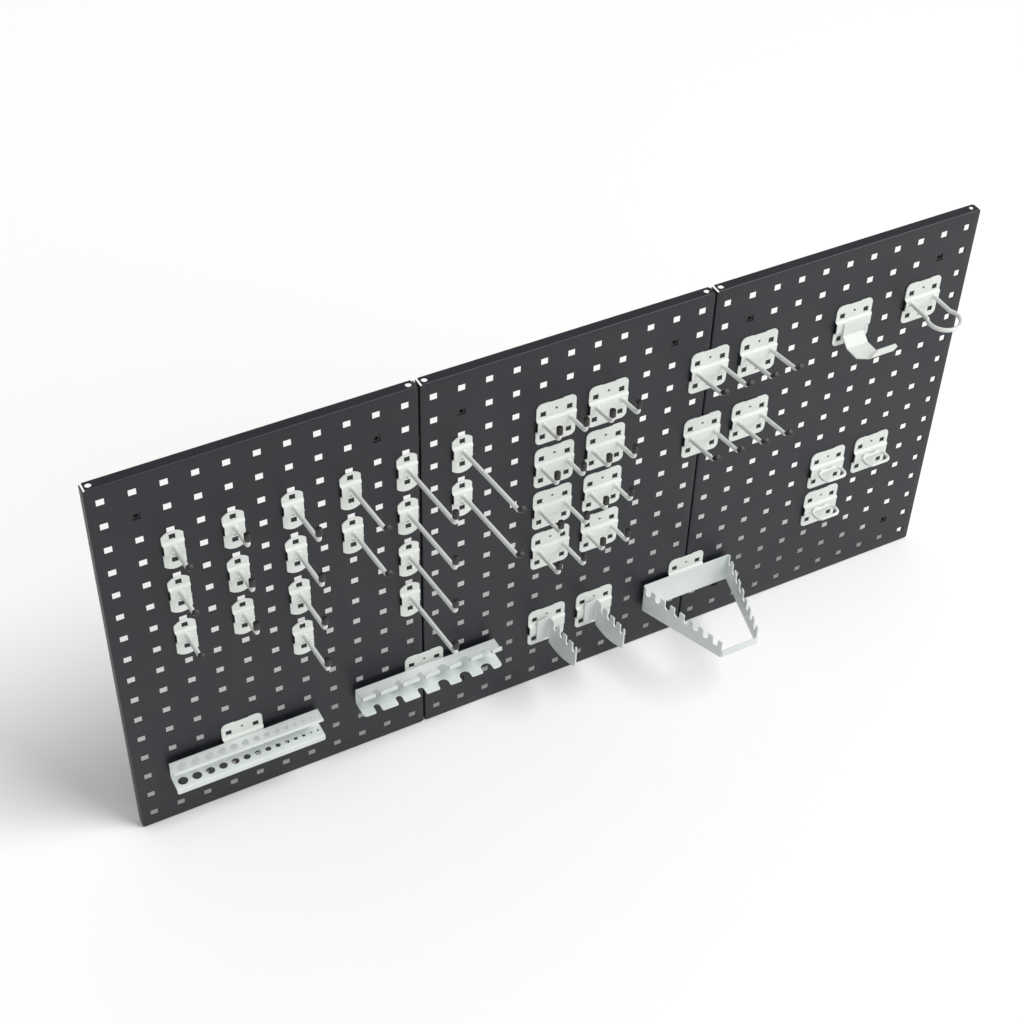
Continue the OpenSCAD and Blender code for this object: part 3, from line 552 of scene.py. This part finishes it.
def wire(points, diameter, radius, steps=10):
    """A wire bent along a line of points, with its ends cut square."""
    mesh = bpy.data.meshes.new("line")
    mesh.from_pydata([Vector(p) for p in points], [(i, i + 1) for i in range(len(points) - 1)], [])
    tube = grow(wire_tree, mesh, {"Diameter": diameter, "Bend Radius": radius, "Bend Steps": steps,
                                  "Sides": 20, "Material": white_coat})
    bm = bmesh.new()
    bm.from_mesh(tube)
    bmesh.ops.remove_doubles(bm, verts=bm.verts, dist=0.0005)
    bmesh.ops.recalc_face_normals(bm, faces=bm.faces)
    bm.to_mesh(tube)
    bm.free()
    tube.set_sharp_from_angle(angle=math.radians(40))
    return tube


def turned(profile, steps, material, place=Matrix.Identity(4)):
    """A closed round shape from its half section, (radius, height) pairs. A radius of 0 is a pole."""
    bm = bmesh.new()
    rings = []
    for r, height in profile:
        if r == 0:
            rings.append([bm.verts.new((0, 0, height))] * steps)
            continue
        turns = [math.tau * i / steps for i in range(steps)]
        rings.append([bm.verts.new((r * math.cos(t), r * math.sin(t), height)) for t in turns])
    for lower, upper in zip(rings, rings[1:]):
        for i in range(steps):
            corners = [lower[i - 1], lower[i], upper[i], upper[i - 1]]
            bm.faces.new(list(dict.fromkeys(corners)))
    bmesh.ops.recalc_face_normals(bm, faces=bm.faces)
    bm.transform(place)
    mesh = bpy.data.meshes.new("turned")
    bm.to_mesh(mesh)
    bm.free()
    for face in mesh.polygons:
        face.use_smooth = True
    mesh.materials.append(material)
    mesh.set_sharp_from_angle(angle=math.radians(50))
    return mesh


# Where a wire meets the band, the weld and the coat leave a small soft collar
collar_profile = [(2.7, -0.6), (2.7, 1.7), (3.1, 1.5), (3.3, 0.8), (3.8, 0.3), (4.6, 0.05),
                  (4.6, -0.6), (2.7, -0.6)]
to_front = Matrix.Rotation(math.radians(90), 4, "X")

# Plasticised PVC, dip moulded over a pin: black with a slight brown cast, a soft low gloss and
# a grain of about 0.8 mm.
dipped_vinyl = moulded_plastic("dipped_black_vinyl", "#171413", "#221e1c", 0.48, 0.8)
cap_profile = [(0, 9.05), (2.9, 9.05), (2.9, 0.5), (3.3, 0.0), (3.9, 0.0), (4.25, 0.4), (4.25, 9.4),
               (4.1, 10.2), (3.6, 10.75), (2.6, 11.0), (0, 11.0)]


def collar(at):
    """The weld collar round the foot of a wire, with its place."""
    return turned(collar_profile, 24, white_coat, to_front), at


def hook_parts(run, turn):
    """The wire and the cap of a hook, at the middle of its plate."""
    foot = Vector((0, BAND_FRONT, -ROOT_DROP))
    slope, rise = math.radians(WIRE_TILT), math.radians(WIRE_TILT + turn)
    along = Vector((0, -math.cos(slope), math.sin(slope)))
    up = Vector((0, -math.cos(rise), math.sin(rise)))
    back = BEND_R * math.tan(math.radians(turn) / 2)
    elbow = foot + along * (run + back)
    tip_end = elbow + up * (back + TIP)
    steel = joined((wire([foot - along, elbow, tip_end], WIRE_D, BEND_R), (0, 0, 0)),
                   collar(foot))
    seat = tip_end - up * CAP_GRIP
    turn_up = up.to_track_quat("Z", "X").to_matrix().to_4x4()
    cap = turned(cap_profile, 28, dipped_vinyl, Matrix.Translation(seat) @ turn_up)
    return steel, cap


def seat(column, row):
    """Where a holder hangs: its holes are counted in columns over the wall and rows from the top."""
    return Vector(((column - 1.5 * COLUMNS - 0.5) * PITCH, -FLANGE, ((ROWS + 1) / 2 - row) * PITCH))


SINGLE_HOOKS = {
    "stub_hook": (46.0, ANGLED, 3, (3, 5, 7)),
    "short_hook": (39.0, UPRIGHT, 5, (3, 5, 7)),
    "medium_hook": (74.0, UPRIGHT, 7, (3, 5, 7, 9)),
    "angled_hook": (97.0, ANGLED, 9, (3, 5)),
    "long_hook": (128.0, UPRIGHT, 11, (3, 5, 7, 9)),
    "extra_long_hook": (147.0, ANGLED, 13, (3, 5)),
}
for kind, (run, turn, column, rows) in SINGLE_HOOKS.items():
    steel, cap = hook_parts(run, turn)
    for number, row in enumerate(rows, 1):
        name = f"{kind}_{number}"
        steel_node = name + "_steel" if number == 1 else name
        cap_node = name + "_cap" if number == 1 else name
        at = seat(column, row)
        settle(narrow_plate, name + "_pressed_plate", name, at, "holder_steel", steel_node)
        settle(steel, name + "_bent_wire", name, at, "holder_steel", steel_node)
        settle(cap, name + "_vinyl_cap", name, at, "plastic", cap_node)


# ---- twin hooks ----
# The same wire and caps in pairs, on a plate that spans two columns of holes. They carry
# hammers, axes and long tools by their heads.

TWIN_HOOKS = {
    "twin_short_hook": (34.0, UPRIGHT, ((16.5, 3), (16.5, 5), (18.5, 3), (18.5, 5), (18.5, 7), (18.5, 9))),
    "twin_medium_hook": (50.0, UPRIGHT, ((16.5, 7), (16.5, 9))),
    "twin_angled_hook": (54.0, ANGLED, ((22.5, 3), (24.5, 3), (22.5, 6), (24.5, 6))),
}
aside = Vector((PITCH / 2, 0, 0))
for kind, (run, turn, seats) in TWIN_HOOKS.items():
    steel, cap = hook_parts(run, turn)
    steels, caps = joined((steel, -aside), (steel, aside)), joined((cap, -aside), (cap, aside))
    for number, (column, row) in enumerate(seats, 1):
        name = f"{kind}_{number}"
        steel_node = name + "_steel" if number == 1 else name
        cap_node = name + "_caps" if number == 1 else name
        at = seat(column, row)
        settle(wide_plate, name + "_pressed_plate", name, at, "holder_steel", steel_node)
        settle(steels, name + "_bent_wires", name, at, "holder_steel", steel_node)
        settle(caps, name + "_vinyl_caps", name, at, "plastic", cap_node)


# ---- ring holder ----
# One length of the same wire, rolled into an open ring whose two ends are welded to the band.
# It holds a spray can or the nose of a drill.

RING_R, RING_REACH = 23.0, 48.0

leg_l = RING_REACH - math.sqrt(RING_R ** 2 - (PITCH / 2) ** 2)
centre = Vector((0, BAND_FRONT - RING_REACH, -ROOT_DROP))
opening = math.degrees(math.asin(PITCH / 2 / RING_R))
sweep = [90 + opening + 12 + (336 - 2 * opening) * i / 60 for i in range(61)]
ring_line = [(-PITCH / 2, BAND_FRONT + 1, -ROOT_DROP), (-PITCH / 2, BAND_FRONT - leg_l - 1, -ROOT_DROP)]
ring_line += [centre + RING_R * Vector((math.cos(math.radians(t)), math.sin(math.radians(t)), 0))
              for t in sweep]
ring_line += [(PITCH / 2, BAND_FRONT - leg_l - 1, -ROOT_DROP), (PITCH / 2, BAND_FRONT + 1, -ROOT_DROP)]
foot = Vector((0, BAND_FRONT, -ROOT_DROP))
ring_mesh = joined((wire(ring_line, WIRE_D, 6.0, 5), (0, 0, 0)),
                   collar(foot - aside), collar(foot + aside))
at = seat(31.5, 3)
settle(wide_plate, "ring_holder_pressed_plate", "ring_holder", at, "holder_steel", "ring_holder_plate")
settle(ring_mesh, "ring_holder_rolled_ring", "ring_holder", at, "holder_steel", "ring_holder_ring")


# ---- loop holders ----
# A closed rectangle of 4.5 mm wire with round corners. Its long side lies along the band, where
# it is butted together and held by two short welds. Pliers and screwdrivers drop in.

LOOP_WIRE_D, LOOP_W, LOOP_REACH, LOOP_CORNER_R = 4.5, 37.0, 22.5, 8.0
LOOP_JOINT, LOOP_WELD_X = 0.1, 9.0

loop_z = -ROOT_DROP - 2
loop_back = BAND_FRONT - LOOP_WIRE_D / 2
loop_front = BAND_FRONT - LOOP_REACH
loop_half = [(LOOP_JOINT / 2, loop_back, loop_z), (LOOP_W / 2, loop_back, loop_z),
             (LOOP_W / 2, loop_front, loop_z)]
loop_line = loop_half + [(-x, y, z) for x, y, z in reversed(loop_half)]
sideways = Matrix.Rotation(math.radians(90), 4, "Y")
bead = turned([(0, -4.6), (0.8, -4.2), (1.2, -3.2), (1.2, 3.2), (0.8, 4.2), (0, 4.6)],
              14, white_coat, sideways)
bead_at = Vector((LOOP_WELD_X, BAND_FRONT - 0.8, loop_z + 1.9))
loop_mesh = joined((wire(loop_line, LOOP_WIRE_D, LOOP_CORNER_R), (0, 0, 0)),
                   (bead, bead_at), (bead, bead_at - 2 * Vector((LOOP_WELD_X, 0, 0))))
for number, (column, row) in enumerate(((28.5, 10), (30.5, 10), (28.5, 12)), 1):
    name = f"loop_holder_{number}"
    plate_node, loop_node = (name + "_plate", name + "_loop") if number == 1 else (name, name)
    at = seat(column, row)
    settle(wide_plate, name + "_pressed_plate", name, at, "holder_steel", plate_node)
    settle(loop_mesh, name + "_wire_loop", name, at, "holder_steel", loop_node)


# ---- drill holder ----
# A tray cut and folded from one sheet: two shelves with a row of graded holes, a short lip on
# the upper one and a deeper lip under the lower one. It is coated in a paler, greyer powder.

TRAY_TOP, TRAY_T, TRAY_FOLD_R = -20.0, 1.5, 1.4
DRILL_W, DRILL_COUNT, DRILL_END, DRILL_WEB = 210.0, 14, 12.5, 6.0
DRILL_BIG_D, DRILL_SMALL_D = 14.0, 3.5
DRILL_UPPER_D, DRILL_LOWER_D, DRILL_GAP_H = 22.0, 25.0, 28.0
DRILL_UPPER_LIP, DRILL_LOWER_LIP = 3.5, 9.0

# Light grey polyester powder, a shade cooler than the plates, satin.
grey_coat = powder_coat("powder_coat_light_grey", "#cfd6d4", "#dbe0de", 2.0, 0.38)

half_t = TRAY_T / 2
back_y = BAND_FRONT - half_t
upper_z = TRAY_TOP - half_t
lower_z = TRAY_TOP - DRILL_GAP_H - 2 * TRAY_T + half_t
upper_front = BAND_FRONT - DRILL_UPPER_D + half_t
lower_front = BAND_FRONT - DRILL_LOWER_D + half_t
path, after = rounded([(upper_front, TRAY_TOP - DRILL_UPPER_LIP), (upper_front, upper_z), (back_y, upper_z),
                       (back_y, lower_z), (lower_front, lower_z),
                       (lower_front, lower_z + half_t - DRILL_LOWER_LIP)], TRAY_FOLD_R)
hole_y = BAND_FRONT - DRILL_UPPER_D / 2 - 1
upper_u = after[1] + hole_y - upper_front
lower_u = after[3] + back_y - hole_y
sizes = [DRILL_BIG_D - i * (DRILL_BIG_D - DRILL_SMALL_D) / (DRILL_COUNT - 1) for i in range(DRILL_COUNT)]
cutouts = []
x = DRILL_END - DRILL_W / 2
for number, size in enumerate(sizes):
    if number:
        x += (sizes[number - 1] + size) / 2 + DRILL_WEB
    for u in (upper_u, lower_u):
        cutouts.append(arc(u, x, size / 2, 0, 345, 23))


def rounded_end(length, half_width, corner, at_end):
    """The corners of a blank's free end, at u 0 or at its full length, cut by a small arc."""
    if at_end:
        return (arc(length - corner, -half_width + corner, corner, -90, 0, 4)
                + arc(length - corner, half_width - corner, corner, 0, 90, 4))
    return (arc(corner, half_width - corner, corner, 90, 180, 4)
            + arc(corner, -half_width + corner, corner, 180, 270, 4))


length = path[-1][0]
outline = rounded_end(length, DRILL_W / 2, 3.0, True) + rounded_end(length, DRILL_W / 2, 1.2, False)
tray = bend(blank(outline, *cutouts), path, lambda a, b, v: (v, a, b))
drill_tray = thicken(tray, TRAY_T, COAT_EDGE, grey_coat)
at = seat(4.5, 13)
settle(wide_plate, "drill_holder_pressed_plate", "drill_holder", at, "holder_steel", "drill_holder_plate")
settle(drill_tray, "drill_holder_folded_tray", "drill_holder", at, "tray_steel", "drill_holder_tray")


# ---- screwdriver holder ----
# A second folded tray, set higher on its plate. Three narrow slots and three wide ones run in
# from the front of both shelves, and upturned lips between them stop the handles.

DRIVER_W, DRIVER_COUNT, DRIVER_PITCH, DRIVER_END = 210.0, 6, 33.0, 23.0
DRIVER_NARROW_W, DRIVER_NARROW_COUNT, DRIVER_WIDE_W, DRIVER_SLOT_L = 7.5, 3, 14.0, 15.0
DRIVER_UPPER_D, DRIVER_LOWER_D, DRIVER_GAP_H, DRIVER_LIP_H = 25.5, 29.0, 26.0, 7.5
DRIVER_RISE, LOWER_SLOT_EXTRA = 9.5, 1.5

lower_z = TRAY_TOP - DRIVER_GAP_H - 2 * TRAY_T + half_t
upper_front = BAND_FRONT - DRIVER_UPPER_D + half_t
path, after = rounded([(upper_front, TRAY_TOP + DRIVER_LIP_H), (upper_front, upper_z), (back_y, upper_z),
                       (back_y, lower_z), (BAND_FRONT - DRIVER_LOWER_D, lower_z)], TRAY_FOLD_R)
length = path[-1][0]


def combed(free_u, inner_u, extra, outer):
    """One end of a blank with slots run in from it, in the direction of growing v. Its two outer
    corners have their own radius."""
    inward = 1 if inner_u > free_u else -1
    edge = []
    left = -DRIVER_W / 2
    for number in range(DRIVER_COUNT + 1):
        middle = DRIVER_END - DRIVER_W / 2 + number * DRIVER_PITCH
        r = ((DRIVER_NARROW_W if number < DRIVER_NARROW_COUNT else DRIVER_WIDE_W) + extra) / 2
        right_end = middle - r if number < DRIVER_COUNT else DRIVER_W / 2
        first = outer if number == 0 else 2.0
        last = outer if number == DRIVER_COUNT else 2.0
        edge += [(free_u + inward * first, left), (free_u + inward * 0.3 * first, left + 0.3 * first),
                 (free_u, left + first), (free_u, right_end - last),
                 (free_u + inward * 0.3 * last, right_end - 0.3 * last), (free_u + inward * last, right_end)]
        if number < DRIVER_COUNT:
            start = inner_u - inward * r
            edge += [(start + inward * r * math.sin(math.radians(a)), middle - r * math.cos(math.radians(a)))
                     for a in range(0, 181, 15)]
        left = middle + r
    return edge


upper_inner = after[1] + DRIVER_SLOT_L - half_t
lower_inner = length - DRIVER_SLOT_L
lower_comb = combed(length, lower_inner, LOWER_SLOT_EXTRA, 5.0)
outline = combed(0.0, upper_inner, 0.0, 2.0) + list(reversed(lower_comb))
tray = bend(blank(outline), path, lambda a, b, v: (v, a, b))
driver_tray = thicken(tray, TRAY_T, COAT_EDGE, grey_coat)
name = "screwdriver_holder"
at = seat(11.5, 13)
settle(wide_plate, name + "_pressed_plate", name, at, "holder_steel", name + "_plate")
raised = at + Vector((0, 0, DRIVER_RISE))
settle(driver_tray, name + "_folded_tray", name, raised, "tray_steel", name + "_tray")


# ---- spanner rack ----
# Laser cut from 2 mm sheet with eight notches along each arm, then folded into a tapering
# frame. The bar across its front is the end of the right arm, lapped and welded on the left.

RACK_W, RACK_FRONT_W, RACK_REACH, RACK_T = 146.0, 61.0, 146.0, 2.0
RACK_TOP, RACK_H, RACK_FRONT_H, RACK_BAR_H = -17.0, 49.0, 29.0, 12.0
RACK_NOTCHES, NOTCH_W, NOTCH_H = 8, 9.5, 14.0

rear_y = BAND_FRONT - RACK_T / 2
front_y = BAND_FRONT - RACK_REACH + RACK_T / 2
rear_x = RACK_W / 2 - RACK_T / 2
front_x = RACK_FRONT_W / 2 - RACK_T / 2
path, after = rounded([(-front_x, front_y), (-rear_x, rear_y), (rear_x, rear_y), (front_x, front_y),
                       (-front_x + RACK_T / 2, front_y)], 2.0)
arm_l = math.hypot(rear_x - front_x, rear_y - front_y)
stretch = arm_l / (rear_y - front_y)
notch_step = (RACK_REACH - 2.5 * NOTCH_W) / (RACK_NOTCHES - 1)
depths = [NOTCH_W + i * notch_step for i in range(RACK_NOTCHES)]


def notch(middle, top, width, depth, steps=10):
    """The edge of a round-bottomed notch, in the direction of growing u."""
    r = width / 2
    floor = top - depth + r
    lead = 0.8
    dip = [(middle + r * math.sin(t), floor - r * math.cos(t))
           for t in [math.radians(-90 + 180 * i / steps) for i in range(steps + 1)]]
    into = [(middle - r - lead, top), (middle - r, top - lead)]
    out = [(middle + r, top - lead), (middle + r + lead, top)]
    return into + dip + out


outline = [(0.0, RACK_TOP)]
for depth in reversed(depths):
    outline += notch(after[1] - (depth - RACK_T / 2) * stretch, RACK_TOP, NOTCH_W, NOTCH_H)
for depth in depths:
    outline += notch(after[2] + (depth - RACK_T / 2) * stretch, RACK_TOP, NOTCH_W, NOTCH_H)
bar_top = RACK_TOP - RACK_FRONT_H + RACK_BAR_H
front_low = RACK_TOP - RACK_FRONT_H
length = path[-1][0]
outline += [(after[3] - 1.5, RACK_TOP), (after[3] - 1.5, bar_top + 2), (after[3] + 0.5, bar_top),
            (length, bar_top), (length, front_low), (after[3], front_low),
            (after[2], RACK_TOP - RACK_H), (after[1], RACK_TOP - RACK_H), (0.0, front_low)]
rack = bend(blank(outline), path, lambda a, b, v: (a, b, v))
rack_mesh = thicken(rack, RACK_T, COAT_EDGE, grey_coat)
at = seat(22.5, 13)
settle(wide_plate, "spanner_rack_pressed_plate", "spanner_rack", at, "holder_steel", "spanner_rack_plate")
settle(rack_mesh, "spanner_rack_folded_frame", "spanner_rack", at, "tray_steel", "spanner_rack_frame")


# ---- notched brackets ----
# An arm cut from the same 2 mm sheet, with four notches for pliers or spanners, and bent at
# its root into a foot that is spot welded to the band.

BRACKET_X, BRACKET_REACH, BRACKET_H, BRACKET_TIP_H = 2.0, 77.0, 49.0, 38.0
BRACKET_TOP, BRACKET_RISE, BRACKET_BULGE, BRACKET_NOTCHES = -10.0, 12.5, 7.0, 4
BRACKET_NOTCH_W, BRACKET_NOTCH_H = 7.0, 14.0
BRACKET_FOOT_W, BRACKET_FOOT_H = 21.0, 38.0

arm_x = BRACKET_X + RACK_T / 2
foot_x = BRACKET_X + RACK_T - BRACKET_FOOT_W
path, after = rounded([(foot_x, rear_y), (arm_x, rear_y), (arm_x, BAND_FRONT - BRACKET_REACH)], 2.0)
length = path[-1][0]
root = after[1] - RACK_T / 2


def arm_top(reach):
    return BRACKET_TOP + BRACKET_RISE * reach / BRACKET_REACH


outline = arc(2.0, BRACKET_TOP - 2.0, 2.0, 180, 90, 4)
notch_gap = (BRACKET_REACH - BRACKET_NOTCH_W) / BRACKET_NOTCHES
for i in range(1, BRACKET_NOTCHES + 1):
    outline += notch(root + i * notch_gap, arm_top(i * notch_gap), BRACKET_NOTCH_W, BRACKET_NOTCH_H)
outline += [(length - 1, arm_top(BRACKET_REACH)), (length, arm_top(BRACKET_REACH) - 1)]
tip_low = BRACKET_TOP + BRACKET_RISE - BRACKET_TIP_H
root_low = BRACKET_TOP - BRACKET_H
steps = 12
for i in range(steps + 1):
    share = 1 - i / steps
    drop = 4 * BRACKET_BULGE * share * (1 - share)
    outline.append((after[1] + 1 + (length - after[1] - 1) * share,
                    root_low + (tip_low - root_low) * share - drop))
foot_low = BRACKET_TOP - BRACKET_FOOT_H
outline += [(after[1] + 1, foot_low - 2), (after[1] - 2, foot_low)]
outline += arc(2.0, foot_low + 2.0, 2.0, 270, 180, 4)
arm = bend(blank(outline), path, lambda a, b, v: (a, b, v))
bracket_mesh = thicken(arm, RACK_T, COAT_EDGE, grey_coat)
for number, column in enumerate((16.5, 18.5), 1):
    name = f"notched_bracket_{number}"
    plate_node, arm_node = (name + "_plate", name + "_arm") if number == 1 else (name, name)
    at = seat(column, 13)
    settle(wide_plate, name + "_pressed_plate", name, at, "holder_steel", plate_node)
    settle(bracket_mesh, name + "_bent_arm", name, at, "tray_steel", arm_node)


# ---- strap cradle ----
# A strap of 2 mm sheet, folded down, out and level into a cradle for a machine or a coil of
# cable. A tapered bar is turned up across its end, and one corner of the floor is cut away.

STRAP_W, STRAP_DROP, STRAP_SLOPE_D, STRAP_SLOPE_H, STRAP_FLOOR_D = 34.0, 21.0, 14.0, 13.0, 32.0
STRAP_CORNER_W, STRAP_CORNER_D, STRAP_BAR_L, STRAP_BAR_H = 15.0, 8.0, 45.0, 12.0

half_s = RACK_T / 2
strap_floor = TRAY_TOP - STRAP_DROP - STRAP_SLOPE_H
strap_end = BAND_FRONT - STRAP_SLOPE_D - STRAP_FLOOR_D + half_s
path, after = rounded([
    (rear_y, TRAY_TOP), (rear_y, TRAY_TOP - STRAP_DROP + 0.4),
    (BAND_FRONT - STRAP_SLOPE_D - 0.4, strap_floor + half_s), (strap_end, strap_floor + half_s),
    (strap_end, strap_floor + STRAP_BAR_H)], 1.5)
half = STRAP_W / 2
fold_u = after[3]
length = path[-1][0]
bar_start = STRAP_CORNER_W - half
bar_end = bar_start + STRAP_BAR_L
outline = [(0, -half), (fold_u - STRAP_CORNER_D, -half), (fold_u, bar_start),
           (length, bar_start + STRAP_BAR_H), (length, bar_end - STRAP_BAR_H / 4),
           (fold_u + STRAP_BAR_H / 2, bar_end), (fold_u + 0.6, bar_end - STRAP_BAR_H / 2),
           (fold_u + 0.6, half + 1.0), (fold_u - 1.5, half), (0, half)]
strap = bend(blank(outline), path, lambda a, b, v: (v, a, b))
strap_mesh = thicken(strap, RACK_T, COAT_EDGE, white_coat)
at = seat(28.5, 3)
settle(wide_plate, "strap_cradle_pressed_plate", "strap_cradle", at, "holder_steel", "strap_cradle_plate")
settle(strap_mesh, "strap_cradle_folded_strap", "strap_cradle", at, "holder_steel", "strap_cradle_strap")


# ---- studio ----
# The wall stands on a plain pale floor, lit by a broad soft light from the upper right, a
# weaker one from the right and an even white surround.

low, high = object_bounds()
floor_mesh = bpy.data.meshes.new("studio_floor")
reach = 12.0
floor_mesh.from_pydata([(-reach, -reach, 0), (reach, -reach, 0), (reach, reach, 0), (-reach, reach, 0)],
                       [], [(0, 1, 2, 3)])
floor_mesh.transform(Matrix.Translation((0, 0, low.z - 0.0005)))
floor = bpy.data.objects.new("studio_floor", floor_mesh)
bpy.context.scene.collection.objects.link(floor)

# Matt white painted board: it takes a soft grey shadow and shows no texture.
board = bpy.data.materials.new("painted_white_board")
board.use_nodes = True
board.node_tree.nodes.clear()
matt = add(board.node_tree, "ShaderNodeBsdfPrincipled",
           {"Base Color": linear("#f7f7f6"), "Roughness": 0.9, "Specular IOR Level": 0.1})
add(board.node_tree, "ShaderNodeOutputMaterial", {"Surface": matt.outputs["BSDF"]})
floor_mesh.materials.append(board)


def soft_light(name, place, aim, size, power):
    """A square area light at a place, turned to a point."""
    data = bpy.data.lights.new(name, "AREA")
    data.shape = "SQUARE"
    data.size = size
    data.energy = power
    light = bpy.data.objects.new(name, data)
    light.location = place
    light.rotation_euler = (Vector(aim) - Vector(place)).to_track_quat("-Z", "Y").to_euler()
    bpy.context.scene.collection.objects.link(light)


sun = bpy.data.lights.new("key_light", "SUN")
sun.energy = 2.1
sun.angle = math.radians(30)
key = bpy.data.objects.new("key_light", sun)
key.rotation_euler = Vector((-0.45, 0.35, -0.82)).to_track_quat("-Z", "Y").to_euler()
bpy.context.scene.collection.objects.link(key)
soft_light("right_light", (1.9, -1.4, 0.9), (0.3, 0, 0), 0.9, 10)

surround = bpy.data.worlds.new("studio_surround")
surround.use_nodes = True
surround.node_tree.nodes.clear()
glow = add(surround.node_tree, "ShaderNodeBackground", {"Color": linear("#ffffff"), "Strength": 0.5})
add(surround.node_tree, "ShaderNodeOutputWorld", {"Surface": glow.outputs["Background"]})
bpy.context.scene.world = surround
bpy.context.scene.view_settings.view_transform = "Standard"

eye = Vector((-0.950, -1.611, 1.794))
aim = Vector((-0.078, -0.015, 0.045))
roll = Quaternion((0, 0, 1), 0.029)
camera_data = bpy.data.cameras.new("studio_camera")
camera_data.lens = 67.7
camera_data.sensor_width = 36.0
camera = bpy.data.objects.new("studio_camera", camera_data)
camera.location = eye
camera.rotation_mode = "QUATERNION"
camera.rotation_quaternion = (aim - eye).to_track_quat("-Z", "Y") @ roll
bpy.context.scene.collection.objects.link(camera)
bpy.context.scene.camera = camera
